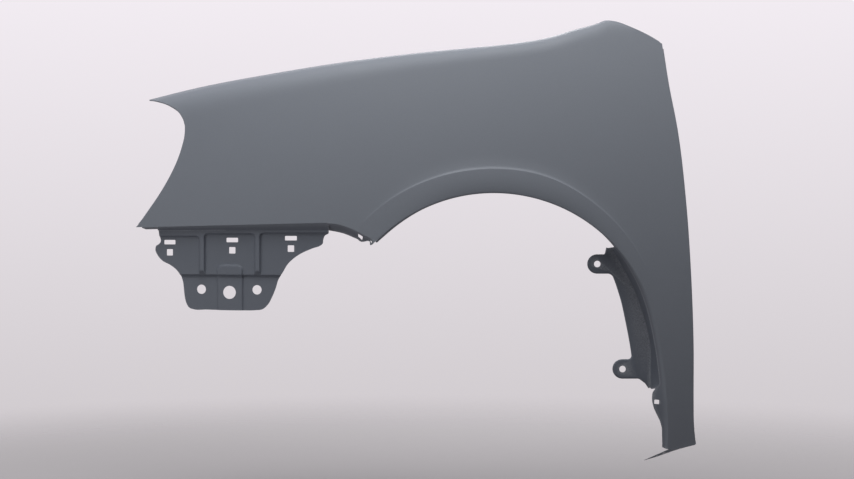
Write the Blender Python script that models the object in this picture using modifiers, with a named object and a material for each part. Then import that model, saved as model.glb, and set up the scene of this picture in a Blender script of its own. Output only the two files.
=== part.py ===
"""Left front fender of a small car: one stamped sheet with folded flanges, and a welded liner bracket.

Sizes are in metres. The fender is laid out about the centre of its wheel arch, in the car's own
directions: the car's front is at -X, the outer side faces -Y, and +Z is up. At the end everything
is moved so that the seat of the bonnet rail is at the origin.
"""

import math

import bmesh
import bpy
from mathutils import Matrix, Vector
from mathutils.geometry import interpolate_bezier

COLLECTION_NAME = "car_fender"
INBOARD = Vector((0, 1, 0))
DOWN = Vector((0, 0, -1))
REARWARD = Vector((1, 0, 0))
QUARTER_TURN = math.radians(90)

# Sheet metal
SHEET = 0.0008
BRACKET_SHEET = 0.0012
SEAT_GAP = 0.0003
FOLD_RADIUS = 0.003
MERGE_DISTANCE = 0.00001
CUT_DEPTH = 0.024

# Wheel arch and rear leg, from the wheel centre
ARCH_RADIUS = 0.321
ARCH_TIP_TURN = math.radians(136.4)
ARCH_LEG_TURN = math.radians(17)
LEG_FOOT_REACH = 0.339
LEG_FOOT_DROP = 0.182
LEG_FOOT_RISE = 0.010
LEG_WIDTH = 0.059
LEG_PULL_SHARE = 0.3

# Flare band between the crease and the arch edge, which starts at the blunt front tip
BAND_WIDTH = 0.045
TIP_TURN = math.radians(35.4)
TIP_BOW = 0.0045
FLARE = 0.0045
FLARE_BLEND = 0.028
BAND_START_SHARE = 0.1
BAND_SHARES = ((0, 0.96), (0.05, 0.98), (0.1, 1), (0.33, 1), (0.5, 0.72), (0.66, 0.42), (0.8, 0.24), (1, 0.2))
FLARE_SHARES = ((0, 0.15), (0.12, 0.8), (0.22, 1), (0.38, 1), (0.5, 0.55), (0.62, 0.1), (0.7, 0), (1, 0))

# Skirt, the edge above the bumper
FRONT_REACH = 0.719
SKIRT_HEIGHT = 0.2575
SKIRT_FALL = 0.004
SKIRT_BEND_REACH = 0.330
SKIRT_PULL_SHARE = 0.38
SKIRT_END_TURN = math.radians(24)

# Headlight edge, bottom to top, as shares of its height and of its bow
FRONT_TOP_SETBACK = 0.007
FRONT_TOP_HEIGHT = 0.524
HEADLIGHT_BOW = 0.100
HEADLIGHT_SHARES = (
    (0, 0), (0.12, 0.2), (0.24, 0.43), (0.36, 0.635), (0.475, 0.8), (0.6, 0.93), (0.715, 1),
    (0.78, 0.985), (0.84, 0.9), (0.9, 0.7), (0.95, 0.42),
)
HEADLIGHT_FADE_POWER = 1.6

# Top edge, front to rear, as shares of its length and of its rise to the peak
REAR_TOP_REACH = 0.335
REAR_TOP_HEIGHT = 0.615
PEAK_HEIGHT = 0.666
TOP_SHARES = (
    (0.1, 0.15), (0.256, 0.32), (0.405, 0.465), (0.55, 0.58), (0.695, 0.675), (0.745, 0.715), (0.79, 0.8),
    (0.84, 0.885), (0.878, 0.955), (0.897, 1), (0.911, 0.985), (0.944, 0.885), (0.978, 0.76),
)

# Door edge, top to bottom, as shares of its drop and of the shift between its ends
DOOR_SHARES = (
    (0.1, 0.14), (0.22, 0.38), (0.4, 0.6), (0.575, 0.74), (0.75, 0.84), (0.9, 0.89), (0.94, 0.91), (0.975, 0.98),
)

# Double curvature of the skin: how far it lies inboard at each of its ends
WIDEST_REACH = 0.129
WIDEST_HEIGHT = 0.178
NOSE_INSET = 0.150
NOSE_POWER = 2.4
REAR_INSET = 0.0045
PEAK_INSET = 0.0794
FOOT_INSET = 0.0405
ROLL_DEPTH = 0.070
ROLL_HEIGHT = 0.042
ROLL_FRONT_HEIGHT = 0.070
ROLL_TURN = math.radians(78)
ROLL_FULL_REACH = 0.080
ROLL_END_REACH = 0.290

# How the skin's mesh follows its edges
TOP_MEETS_CREASE_SHARE = 0.433
CORNER_SHARE = 0.63
ARCH_SPAN_SHARES = ((0, 1), (0.005, 1), (0.024, 18), (0.5555, 3), (0.63, 12), (0.874, 8), (0.975, 1), (1, 0))
FLARE_ROW_SHARES = (0, 0.25, 0.6)
ROLL_ROW_TURN_SHARES = (0, 0.28, 0.52, 0.74, 0.9)
BAND_ROW_SHARES = (0, 0.4, 0.8, 1)
TIP_BOW_SHARES = ((0, 0), (0.4, 0.55), (0.8, 1), (1, 0))
COLUMN_FIT_SHARE = 0.75
MIDDLE_ROWS = 5
SKIRT_REAR_SPANS = 5
FOLD_STEPS = 2
CURVE_STEPS = 12

# Wheel-arch lip, with its screw tab near the foot
LIP_WIDTH = 0.013
LIP_TAB_WIDTH = 0.030
LIP_SHARES = (
    (0, 0), (0.862, 0), (0.874, 0.55), (0.886, 0.95), (0.9, 1), (0.916, 0.88), (0.93, 0.6),
    (0.945, 0.22), (0.96, 0.03), (1, 0),
)
LIP_START_WIDTH = 0.004
LIP_START_SHARE = 0.03
LIP_TURNS = ((0, 90), (0.5, 88), (0.62, 72), (0.75, 56), (0.86, 48), (0.9, 40), (0.94, 46), (1, 56))
LIP_HOLE_SIZE = 0.0085
LIP_HOLE_ALONG_SHARE = 0.8985
LIP_HOLE_ACROSS_SHARE = 0.6

# Plate below the skirt that carries the bumper's end
PLATE_FRONT_SETBACK = 0.046
PLATE_REAR_CLEARANCE = 0.0538
PLATE_FRONT_BULGE = 0.012
PLATE_RELIEF = 0.002
PLATE_DROP = 0.1695
PLATE_TRIM_DEPTH = 0.200
PLATE_TRIM_MARGIN = 0.010
LEDGE_DROP = 0.0105
LEDGE_INSET = 0.013
POCKET_DEPTH = 0.0055
POCKET_FLANK = 0.004
POCKET_CORNER = 0.009
POCKET_FRONT_DROP = 0.0205
POCKET_MIDDLE_DROP = 0.0155
POCKET_REAR_DROP = 0.0145
JOGGLE_DROP = 0.1005
JOGGLE_RUN = 0.004
JOGGLE_DEPTH = 0.0045
FRONT_RIB_PLACE = 0.0935
REAR_RIB_PLACE = 0.2082
RIB_WIDTH = 0.007
RIB_END_RUN = 0.008
DOME_PLACE = 0.1512
DOME_WIDTH = 0.048
DOME_FLANK = 0.004
DOME_CORNER = 0.014
DOME_PROUD = 0.0028
DOME_HEIGHT = 0.0225
PLATE_OUTLINE_SHARES = (
    (0.0034, 0), (0.008, 0.072), (0.0134, 0.142), (0.0028, 0.173), (-0.0137, 0.195), (-0.0193, 0.247),
    (-0.0051, 0.316), (0.0245, 0.386), (0.0708, 0.437), (0.1129, 0.506), (0.136, 0.577),
    (0.1482, 0.655), (0.1542, 0.759), (0.1607, 0.863), (0.1701, 0.93), (0.1863, 0.979), (0.2148, 1),
    (0.2873, 1), (0.4011, 1.004), (0.4922, 1.004), (0.5775, 1), (0.6188, 0.987), (0.6526, 0.922),
    (0.6751, 0.833), (0.6947, 0.73), (0.7144, 0.601), (0.7357, 0.532), (0.7664, 0.421),
    (0.8139, 0.328), (0.9075, 0.226), (0.9516, 0.192), (0.9644, 0.169), (0.969, 0.116),
    (0.9772, 0.069), (1, 0.035), (1, 0),
)
PLATE_SPANS = 4

# Openings in the plate
SLOT_LENGTH = 0.0238
SLOT_HEIGHT = 0.0088
SQUARE_SIZE = 0.0128
SLOT_SHARES = ((0.07, 0), (0.4444, 0.55), (0.7844, 1))
SLOT_DROP = 0.0342
SLOT_RISE = 0.0079
SQUARE_DROP = 0.0205
BOLT_HOLE_RADIUS = 0.0093
CENTRE_HOLE_RADIUS = 0.0130
BOLT_HOLE_SHARES = (0.2597, 0.5875)
BOLT_HOLE_DROP = 0.1288
CENTRE_HOLE_SHARE = 0.4276
CENTRE_HOLE_DROP = 0.1344
HOLE_SIDES = 20

# Flange under the skirt behind the plate, with a slot, and an ear with a small hole at the arch's tip
SKIRT_FLANGE = 0.029
SKIRT_FLANGE_SHARES = ((0, 0.86), (0.25, 0.86), (0.55, 1), (0.75, 0.85), (0.92, 0.34), (1, 0.34))
SKIRT_FLANGE_TURNS = ((0, 64), (0.75, 64), (0.92, 42), (1, 30))
SKIRT_FRONT_FLANGE = 0.014
SKIRT_FRONT_TURN = 80
SKIRT_FRONT_SETBACK = 0.013
SKIRT_SLOT_LENGTH = 0.011
SKIRT_SLOT_WIDTH = 0.012
SKIRT_SLOT_ALONG_SHARE = 0.7
SKIRT_SLOT_ACROSS_SHARE = 0.43
TIP_HOLE_RADIUS = 0.002
TIP_HOLE_ACROSS_SHARE = 0.45

# Flange behind the headlight edge
HEADLIGHT_FLANGE = 0.018
HEADLIGHT_TURN = 90

# Bonnet gap wall and the rail that is bolted to the inner wing
RAIL_FRONT_SETBACK = 0.047
RAIL_LENGTH = 0.832
RAIL_DEPTH = 0.024
RAIL_WIDTH = 0.024
RAIL_TURN = 90
RAIL_PAD = 0.010
RAIL_PAD_REACH = 0.0675
RAIL_PAD_BLEND = 0.045
RAIL_PAD_SHARES = (0.12, 0.36, 0.62, 0.88)
RAIL_SEAT_SHARE = 0.5
RAIL_HOLE_RADIUS = 0.0045

# Flange at the windscreen pillar, with its upper bolt tab
PILLAR_SETBACK = 0.025
PILLAR_FLANGE = 0.014
PILLAR_TURN = 88
PILLAR_TAB = 0.034
PILLAR_TAB_INSET = 0.050
PILLAR_TAB_REACH = 0.044
PILLAR_TAB_BLEND = 0.022
PILLAR_HOLE_RADIUS = 0.0045
PILLAR_HOLE_SHARE = 0.6

# Flange along the door edge
DOOR_FLANGE = 0.012
DOOR_TURN = 92

# Foot flange, with its tongue toward the wheel
FOOT_FLANGE = 0.028
FOOT_FLANGE_DROP = 0.005
TONGUE_DEPTH = 0.055
TONGUE_DROP = 0.027
TONGUE_REACH = 0.034
TONGUE_POWER = 2.5
TONGUE_HOLE_RADIUS = 0.0035
TONGUE_HOLE_SHARES = (0.45, 0.8)
FOOT_HOLE_SHARE = 0.7

# Welded bracket for the wheel-arch liner, as shares of the arch edge and of the bracket's width
BRACKET_DEPTH = 0.056
BRACKET_WIDTH = 0.074
BRACKET_START_SHARE = 0.5555
BRACKET_END_SHARE = 0.874
RIDGE_SHARES = (
    (0.5555, 0.08), (0.584, 0.137), (0.63, 0.185), (0.7, 0.205), (0.74, 0.184), (0.771, 0.187), (0.802, 0.234),
    (0.8335, 0.302), (0.865, 0.345), (0.874, 0.33),
)
STUB_SHARES = ((0.549, 0.16), (0.558, 0.315))
UPPER_EAR_SHARES = (0.5625, 0.636)
LOWER_EAR_SHARES = (0.8255, 1)
STRIP_SHARES = ((0.6295, 0.546), (0.67, 0.62), (0.714, 0.678), (0.75, 0.702), (0.783, 0.716), (0.7965, 0.723))
FOOT_SHARES = ((0.8525, 0.63), (0.861, 0.47), (0.872, 0.4))
EAR_RADIUS = 0.0192
EAR_HOLE_RADIUS = 0.0064
EAR_NECK = 0.010
EAR_FILLET = 0.012
LOWER_EAR_FILLET = 0.007
FOOT_FILLET = 0.008
STUB_FILLET = 0.004
RIM_DEPTH = 0.006
RIM_ROUND = 0.002
CORNER_STEPS = 4
WELD_OVERLAP_SHARE = 0.6

# Finish
PAINT_COLOUR = (0.165, 0.186, 0.220, 1)
BRACKET_COLOUR = (0.075, 0.082, 0.100, 1)
PAINT_ROUGHNESS = 0.45
SHARP_ANGLE = math.radians(30)

# Places that follow from the sizes above
FRONT_TOP_REACH = FRONT_REACH - FRONT_TOP_SETBACK
RAIL_FRONT = RAIL_FRONT_SETBACK - FRONT_REACH
RAIL_REAR = RAIL_FRONT + RAIL_LENGTH


def smooth(share):
    """Ease a share from 0 to 1 with level ends."""
    share = min(max(share, 0), 1)
    return share * share * (3 - 2 * share)


def read_shares(table, share):
    """Read a table of (place, value) pairs with straight runs between them."""
    for (start, low), (end, high) in zip(table, table[1:]):
        if share <= end:
            return low + (high - low) * (share - start) / (end - start)
    return table[-1][1]


class Curve:
    """A flat line in X and Z, read by its share of length or by its X."""

    def __init__(self, points, rounded=False):
        self.points = self.round_through(points) if rounded else points
        self.lengths = [0]
        for start, end in zip(self.points, self.points[1:]):
            self.lengths.append(self.lengths[-1] + (end - start).length)
        self.length = self.lengths[-1]

    @staticmethod
    def round_through(points):
        """Pass a smooth line through a few chosen points."""
        spans = [(end - start).length for start, end in zip(points, points[1:])]
        slopes = [(end - start) / span for start, end, span in zip(points, points[1:], spans)]
        tangents = [slopes[0]]
        for index in range(1, len(slopes)):
            before, after = spans[index - 1], spans[index]
            tangents.append((slopes[index - 1] * after + slopes[index] * before) / (before + after))
        tangents.append(slopes[-1])
        result = [points[0]]
        for index, span in enumerate(spans):
            start, end = points[index], points[index + 1]
            reach = span / 3
            knots = (start, start + tangents[index] * reach, end - tangents[index + 1] * reach, end)
            result += interpolate_bezier(*knots, CURVE_STEPS + 1)[1:]
        return result

    def at(self, share):
        """Return the point at a share of the length."""
        distance = min(max(share, 0), 1) * self.length
        for index in range(1, len(self.points)):
            if distance <= self.lengths[index] or index == len(self.points) - 1:
                span = self.lengths[index] - self.lengths[index - 1]
                part = (distance - self.lengths[index - 1]) / span
                return self.points[index - 1].lerp(self.points[index], part)

    def side(self, share):
        """Return the unit direction away from the wheel centre, square to the line."""
        step = 1 / (CURVE_STEPS * CURVE_STEPS)
        along = (self.at(share + step) - self.at(share - step)).normalized()
        return Vector((-along.z, 0, along.x))

    def share_at_reach(self, reach):
        """Return the share of length where the line passes an X."""
        for index in range(1, len(self.points)):
            start, end = self.points[index - 1], self.points[index]
            if reach <= end.x or index == len(self.points) - 1:
                part = min(max((reach - start.x) / (end.x - start.x), 0), 1)
                span = self.lengths[index] - self.lengths[index - 1]
                return (self.lengths[index - 1] + part * span) / self.length


def plan(reach, height):
    """Return a point of an outline, before its depth is known."""
    return Vector((reach, 0, height))


def arch_curve():
    """Return the wheel-arch edge: an arc, then the front edge of the rear leg."""
    steps = CURVE_STEPS * CURVE_STEPS
    arc = []
    for step in range(steps + 1):
        turn = ARCH_TIP_TURN + (ARCH_LEG_TURN - ARCH_TIP_TURN) * step / steps
        arc.append(plan(ARCH_RADIUS * math.cos(turn), ARCH_RADIUS * math.sin(turn)))
    foot = plan(LEG_FOOT_REACH, -LEG_FOOT_DROP)
    pull = (foot - arc[-1]).length * LEG_PULL_SHARE
    leaving = arc[-1] + plan(math.sin(ARCH_LEG_TURN), -math.cos(ARCH_LEG_TURN)) * pull
    leg = interpolate_bezier(arc[-1], leaving, foot - DOWN * pull, foot, CURVE_STEPS * 2)
    return Curve(arc + leg[1:])


ARCH = arch_curve()
TIP_DIRECTION = plan(-math.cos(TIP_TURN), math.sin(TIP_TURN))
TIP_SIDE = plan(math.sin(TIP_TURN), math.cos(TIP_TURN))


def near_arch(share, inset):
    """Return the point at an inset from the arch edge, toward the wheel."""
    return ARCH.at(share) - ARCH.side(share) * inset


def crease_point(share):
    """Return the crease's point beside a share of the arch edge."""
    mix = smooth(share / BAND_START_SHARE)
    direction = TIP_DIRECTION.lerp(ARCH.side(share), mix).normalized()
    return ARCH.at(share) + direction * BAND_WIDTH * read_shares(BAND_SHARES, share)


def skirt_curve():
    """Return the skirt's edge, from the lower front tip to the start of the crease."""
    tip = plan(-FRONT_REACH, SKIRT_HEIGHT - SKIRT_FALL)
    bend = plan(-SKIRT_BEND_REACH, SKIRT_HEIGHT)
    end = crease_point(0)
    pull = (end - bend).length * SKIRT_PULL_SHARE
    along = (bend - tip).normalized()
    arriving = end + plan(-math.cos(SKIRT_END_TURN), math.sin(SKIRT_END_TURN)) * pull
    curve = interpolate_bezier(bend, bend + along * pull, arriving, end, CURVE_STEPS)
    return Curve([tip] + list(curve))


def headlight_curve():
    """Return the headlight edge, from the lower front tip to the upper one."""
    low = SKIRT_HEIGHT - SKIRT_FALL
    height = FRONT_TOP_HEIGHT - low
    points = [plan(-FRONT_REACH + HEADLIGHT_BOW * bow, low + height * rise) for rise, bow in HEADLIGHT_SHARES]
    return Curve(points + [plan(-FRONT_TOP_REACH, FRONT_TOP_HEIGHT)], rounded=True)


def top_curve():
    """Return the top edge, from the upper front tip over the peak to the rear corner."""
    length = REAR_TOP_REACH + FRONT_TOP_REACH
    rise = PEAK_HEIGHT - FRONT_TOP_HEIGHT
    points = [plan(-FRONT_TOP_REACH, FRONT_TOP_HEIGHT)]
    for along, up in TOP_SHARES:
        points.append(plan(length * along - FRONT_TOP_REACH, FRONT_TOP_HEIGHT + rise * up))
    return Curve(points + [plan(REAR_TOP_REACH, REAR_TOP_HEIGHT)], rounded=True)


def door_curve():
    """Return the door edge, from the rear top corner to the foot."""
    foot = plan(LEG_FOOT_REACH + LEG_WIDTH, LEG_FOOT_RISE - LEG_FOOT_DROP)
    corner = plan(REAR_TOP_REACH, REAR_TOP_HEIGHT)
    points = [corner]
    for drop, shift in DOOR_SHARES:
        points.append(plan(corner.x + (foot.x - corner.x) * shift, corner.z + (foot.z - corner.z) * drop))
    return Curve(points + [foot], rounded=True)


PLATE_FRONT = PLATE_FRONT_SETBACK - FRONT_REACH
PLATE_REAR = crease_point(0).x - PLATE_REAR_CLEARANCE
PLATE_LENGTH = PLATE_REAR - PLATE_FRONT
SKIRT = skirt_curve()
HEADLIGHT = headlight_curve()
TOP = top_curve()
DOOR = door_curve()


def roll_share(reach):
    """Return how much of the shoulder's roll the top edge has at a station."""
    return smooth((ROLL_END_REACH - reach) / (ROLL_END_REACH - ROLL_FULL_REACH))


def roll_height(reach):
    """Return the height of the shoulder's roll, taller toward the headlight."""
    ahead = min(max(-reach / FRONT_TOP_REACH, 0), 1)
    return ROLL_HEIGHT + (ROLL_FRONT_HEIGHT - ROLL_HEIGHT) * ahead


def depth(reach, height):
    """Return how far inboard the skin lies, without its flare."""
    ahead = WIDEST_REACH - reach
    if ahead > 0:
        inset = NOSE_INSET * (ahead / (WIDEST_REACH + FRONT_REACH)) ** NOSE_POWER
    else:
        inset = REAR_INSET * (ahead / (LEG_FOOT_REACH + LEG_WIDTH - WIDEST_REACH)) ** 2
    above = height - WIDEST_HEIGHT
    if above > 0:
        inset += PEAK_INSET * (above / (PEAK_HEIGHT - WIDEST_HEIGHT)) ** 2
    else:
        inset += FOOT_INSET * (above / (WIDEST_HEIGHT + LEG_FOOT_DROP)) ** 2
    top = TOP.at(TOP.share_at_reach(reach)).z
    sine = 1 - (top - height) / roll_height(reach)
    if sine > 0:
        turn = math.asin(min(sine, 1) * math.sin(ROLL_TURN))
        inset += ROLL_DEPTH * roll_share(reach) * (1 - math.cos(turn))
    return inset


def row_shares(column_length, reach):
    """Return where the rows cross a column of the skin, close together at its flare and its roll."""
    band = FLARE_BLEND + roll_height(reach)
    fit = min(1, column_length * COLUMN_FIT_SHARE / band)
    low = [FLARE_BLEND * fit * share / column_length for share in FLARE_ROW_SHARES]
    start = FLARE_BLEND * fit / column_length
    high = []
    for share in ROLL_ROW_TURN_SHARES:
        left = 1 - math.sin(ROLL_TURN * share) / math.sin(ROLL_TURN)
        high.append(1 - roll_height(reach) * fit * left / column_length)
    middle = [start + (high[0] - start) * step / MIDDLE_ROWS for step in range(MIDDLE_ROWS)]
    return low + middle + high + [1]


def spread(start, end, spans):
    """Return evenly spread values, without the last."""
    return [start + (end - start) * step / spans for step in range(spans)]


def plate_lines():
    """Return the plate's fixed lines: the flanks of its ribs and of its dome."""
    lines = []
    for place, width, flank in (
        (FRONT_RIB_PLACE, RIB_WIDTH, POCKET_FLANK),
        (DOME_PLACE, DOME_WIDTH, DOME_FLANK),
        (REAR_RIB_PLACE, RIB_WIDTH, POCKET_FLANK),
    ):
        centre = PLATE_FRONT + place
        half = width / 2
        lines += [centre - half - flank, centre - half, centre + half, centre + half + flank]
    return lines


def skirt_stations():
    """Return the skirt's columns as X, and which of them belong to the plate."""
    front = [-FRONT_REACH, SKIRT_FRONT_SETBACK - FRONT_REACH, PLATE_FRONT - PLATE_RELIEF]
    lines = plate_lines()
    plate = spread(PLATE_FRONT, lines[0], PLATE_SPANS) + lines[:-1]
    plate += spread(lines[-1], PLATE_REAR, PLATE_SPANS) + [PLATE_REAR]
    rear = spread(PLATE_REAR + PLATE_RELIEF, crease_point(0).x, SKIRT_REAR_SPANS)
    return front + plate + rear, len(front), len(front) + len(plate) - 1


def arch_stations():
    """Return the arch's columns as shares of its edge, and which of them meets the rear top corner."""
    stations = []
    for (start, spans), (end, _) in zip(ARCH_SPAN_SHARES, ARCH_SPAN_SHARES[1:]):
        stations += spread(start, end, spans)
    stations.append(ARCH_SPAN_SHARES[-1][0])
    return stations, stations.index(CORNER_SHARE)


def skin_column(inner, outer, bow, flare):
    """Return one column of the skin, from its inner edge to its outer edge."""
    column = []
    length = (outer - inner).length
    for share in row_shares(length, outer.x):
        place = inner.lerp(outer, share)
        if bow:
            chord = HEADLIGHT.at(0).lerp(HEADLIGHT.at(1), share)
            place += (HEADLIGHT.at(share) - chord) * bow
        lift = FLARE * flare * smooth(1 - share * length / FLARE_BLEND)
        column.append(Vector((place.x, depth(place.x, place.z) - lift, place.z)))
    return column


def skin_grid():
    """Return the skin's columns, and the indexes of its crease start and its rear top corner."""
    stations, plate_start, plate_end = skirt_stations()
    columns = []
    for reach in stations:
        share = SKIRT.share_at_reach(reach)
        bow = (1 - share) ** HEADLIGHT_FADE_POWER
        columns.append(skin_column(SKIRT.at(share), TOP.at(TOP_MEETS_CREASE_SHARE * share), bow, 0))
    crease_start = len(columns)
    shares, corner = arch_stations()
    for index, share in enumerate(shares):
        if index <= corner:
            part = share / CORNER_SHARE
            outer = TOP.at(TOP_MEETS_CREASE_SHARE + (1 - TOP_MEETS_CREASE_SHARE) * part)
        else:
            outer = DOOR.at((share - CORNER_SHARE) / (1 - CORNER_SHARE))
        columns.append(skin_column(crease_point(share), outer, 0, read_shares(FLARE_SHARES, share)))
    return columns, crease_start, crease_start + corner, (plate_start, plate_end)


def band_grid():
    """Return the columns of the band between the crease and the arch edge."""
    columns = []
    for share in arch_stations()[0]:
        crease = crease_point(share)
        edge = ARCH.at(share)
        lift = FLARE * read_shares(FLARE_SHARES, share)
        bow = TIP_SIDE * TIP_BOW * (1 - smooth(share / BAND_START_SHARE))
        column = []
        for row in BAND_ROW_SHARES:
            place = crease.lerp(edge, row) + bow * read_shares(TIP_BOW_SHARES, row)
            column.append(Vector((place.x, depth(place.x, place.z) - lift * (1 - row), place.z)))
        columns.append(column)
    return columns


def edge_frames(edge, inner):
    """Return for each edge point the way the sheet runs off the edge, and the way inboard."""
    frames = []
    for index, point in enumerate(edge):
        before = edge[max(index - 1, 0)]
        after = edge[min(index + 1, len(edge) - 1)]
        along = (after - before).normalized()
        off = point - inner[index]
        off = (off - along * off.dot(along)).normalized()
        inward = along.cross(off).normalized()
        if inward.dot(INBOARD) < 0:
            inward.negate()
        frames.append((off, inward))
    return frames


def folded(edge, frames, bends):
    """Walk the sheet off an edge through (turn in degrees, run) bends, and return its columns."""
    columns = []
    for index, point in enumerate(edge):
        off, inward = frames[index]
        place = point.copy()
        heading = 0
        column = [place.copy()]
        for turn, run in bends[index]:
            step = math.radians(turn) / FOLD_STEPS
            chord = 2 * FOLD_RADIUS * math.sin(abs(step) / 2)
            for _ in range(FOLD_STEPS):
                middle = heading + step / 2
                place += (off * math.cos(middle) + inward * math.sin(middle)) * chord
                heading += step
                column.append(place.copy())
            place += (off * math.cos(heading) + inward * math.sin(heading)) * run
            column.append(place.copy())
        columns.append(column)
    return columns


def quarter_fold(point):
    """Return the middle and the end of a fold from a lower edge toward the inboard side."""
    rise = FOLD_RADIUS * (1 - math.cos(QUARTER_TURN / 2))
    middle = point + Vector((0, rise, rise - FOLD_RADIUS))
    return middle, point + Vector((0, FOLD_RADIUS, -FOLD_RADIUS))


def lip_grid(band):
    """Return the wheel-arch lip, which widens to a screw tab near the foot."""
    shares = arch_stations()[0]
    edge = [column[-1] for column in band[1:]]
    inner = [column[-2] for column in band[1:]]
    bends = []
    for share in shares[1:]:
        run = LIP_START_WIDTH + (LIP_WIDTH - LIP_START_WIDTH) * smooth(share / LIP_START_SHARE)
        run += (LIP_TAB_WIDTH - LIP_WIDTH) * read_shares(LIP_SHARES, share)
        bends.append([(read_shares(LIP_TURNS, share), run)])
    return folded(edge, edge_frames(edge, inner), bends)


def plate_rows():
    """Return the plate's rows as drops below the skirt, from the ledge to the foot."""
    dome = JOGGLE_DROP - DOME_HEIGHT
    joggle = JOGGLE_DROP - JOGGLE_RUN / 2
    corners = POCKET_FRONT_DROP + POCKET_CORNER
    rows = [LEDGE_DROP] + spread(POCKET_REAR_DROP, corners, PLATE_SPANS)
    rows += spread(corners, dome, PLATE_SPANS)
    rows += [dome, dome + DOME_FLANK, joggle - RIB_END_RUN, joggle]
    return rows + spread(joggle + JOGGLE_RUN, PLATE_DROP, PLATE_SPANS) + [PLATE_DROP + FOLD_RADIUS]


def panel_share(reach, drop, front, rear, top, corner, flank):
    """Return how far a place lies inside a sunk or raised panel that is open at its foot."""
    side = min(reach - front, rear - reach)
    below = drop - top
    if side < corner and below < corner:
        inside = corner - math.hypot(corner - side, corner - below)
    else:
        inside = min(side, below)
    return smooth(inside / flank)


def plate_inset(reach, drop):
    """Return how far the plate lies behind the skirt's edge at a place."""
    front_rib = PLATE_FRONT + FRONT_RIB_PLACE
    rear_rib = PLATE_FRONT + REAR_RIB_PLACE
    half = RIB_WIDTH / 2
    sunk = smooth((drop - JOGGLE_DROP + JOGGLE_RUN / 2 + RIB_END_RUN) / RIB_END_RUN)
    for front, rear, top in (
        (PLATE_FRONT - PLATE_LENGTH, front_rib - half, POCKET_FRONT_DROP),
        (front_rib + half, rear_rib - half, POCKET_MIDDLE_DROP),
        (rear_rib + half, PLATE_REAR + PLATE_LENGTH, POCKET_REAR_DROP),
    ):
        sunk = max(sunk, panel_share(reach, drop, front, rear, top, POCKET_CORNER, POCKET_FLANK))
    low = smooth((drop - JOGGLE_DROP + JOGGLE_RUN / 2) / JOGGLE_RUN)
    reach_of_dome = DOME_WIDTH / 2 + DOME_FLANK
    dome = panel_share(
        reach, drop, PLATE_FRONT + DOME_PLACE - reach_of_dome, PLATE_FRONT + DOME_PLACE + reach_of_dome,
        JOGGLE_DROP - DOME_HEIGHT, DOME_CORNER, DOME_FLANK,
    )
    return LEDGE_INSET + POCKET_DEPTH * sunk + JOGGLE_DEPTH * low - DOME_PROUD * dome


def plate_point(reach, drop):
    """Return the plate's outer surface at a place."""
    return Vector((reach, depth(reach, SKIRT_HEIGHT) + plate_inset(reach, drop), SKIRT_HEIGHT - drop))


def plate_grid(skirt_edge):
    """Return the columns of the plate's blank, which start on the skirt's edge."""
    columns = []
    for index, point in enumerate(skirt_edge):
        column = [point, *quarter_fold(point), plate_point(point.x, LEDGE_DROP)]
        reach = point.x if index else point.x - PLATE_FRONT_BULGE
        column += [plate_point(reach, drop) for drop in plate_rows()[1:]]
        columns.append(column)
    return columns


def plate_trim():
    """Return the outline of the scrap round the plate, which is cut from its blank."""
    top = SKIRT_HEIGHT - LEDGE_DROP
    foot = SKIRT_HEIGHT - PLATE_DROP
    points = []
    for across, down in PLATE_OUTLINE_SHARES:
        points.append(plan(PLATE_FRONT + PLATE_LENGTH * across, top + (foot - top) * down))
    points = Curve(points, rounded=True).points
    front = PLATE_FRONT - PLATE_FRONT_BULGE - PLATE_TRIM_MARGIN
    rear = PLATE_REAR + PLATE_RELIEF / 2
    low = foot - PLATE_TRIM_MARGIN
    return points + [plan(rear, top), plan(rear, low), plan(front, low), plan(front, top)]


def skirt_flange_grid(skin, band, crease_start, plate_end):
    """Return the sloping flange behind the plate, which ends in a small ear at the arch's tip."""
    edge = [column[0] for column in skin[plate_end + 1:crease_start]] + band[0]
    inner = [column[1] for column in skin[plate_end + 1:crease_start]] + band[1]
    line = Curve(edge)
    bends = []
    for distance in line.lengths:
        share = distance / line.length
        run = SKIRT_FLANGE * read_shares(SKIRT_FLANGE_SHARES, share)
        bends.append([(read_shares(SKIRT_FLANGE_TURNS, share), run)])
    return folded(edge, edge_frames(edge, inner), bends)


def front_flange_grid(skin):
    """Return the short flange ahead of the plate."""
    edge = [column[0] for column in skin[1:3]]
    frames = edge_frames(edge, [column[1] for column in skin[1:3]])
    return folded(edge, frames, [[(SKIRT_FRONT_TURN, SKIRT_FRONT_FLANGE)] for _ in edge])


def headlight_flange_grid(skin):
    """Return the flange behind the headlight edge."""
    rows = range(1, len(skin[0]) - len(ROLL_ROW_TURN_SHARES))
    edge = [skin[0][row] for row in rows]
    frames = edge_frames(edge, [skin[1][row] for row in rows])
    return folded(edge, frames, [[(HEADLIGHT_TURN, HEADLIGHT_FLANGE)] for _ in edge])


def rail_grid(skin, corner):
    """Return the bonnet gap wall and the bolted rail at its foot."""
    edge = [column[-1] for column in skin[:corner] if RAIL_FRONT < column[-1].x < RAIL_REAR]
    frames = [(INBOARD, DOWN) for _ in edge]
    bends = []
    for point in edge:
        pad = 0
        for share in RAIL_PAD_SHARES:
            distance = abs(point.x - RAIL_FRONT - RAIL_LENGTH * share)
            pad = max(pad, smooth((RAIL_PAD_REACH - distance) / RAIL_PAD_BLEND))
        bends.append([(RAIL_TURN, RAIL_DEPTH), (-RAIL_TURN, RAIL_WIDTH + RAIL_PAD * pad)])
    return folded(edge, frames, bends)


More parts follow.
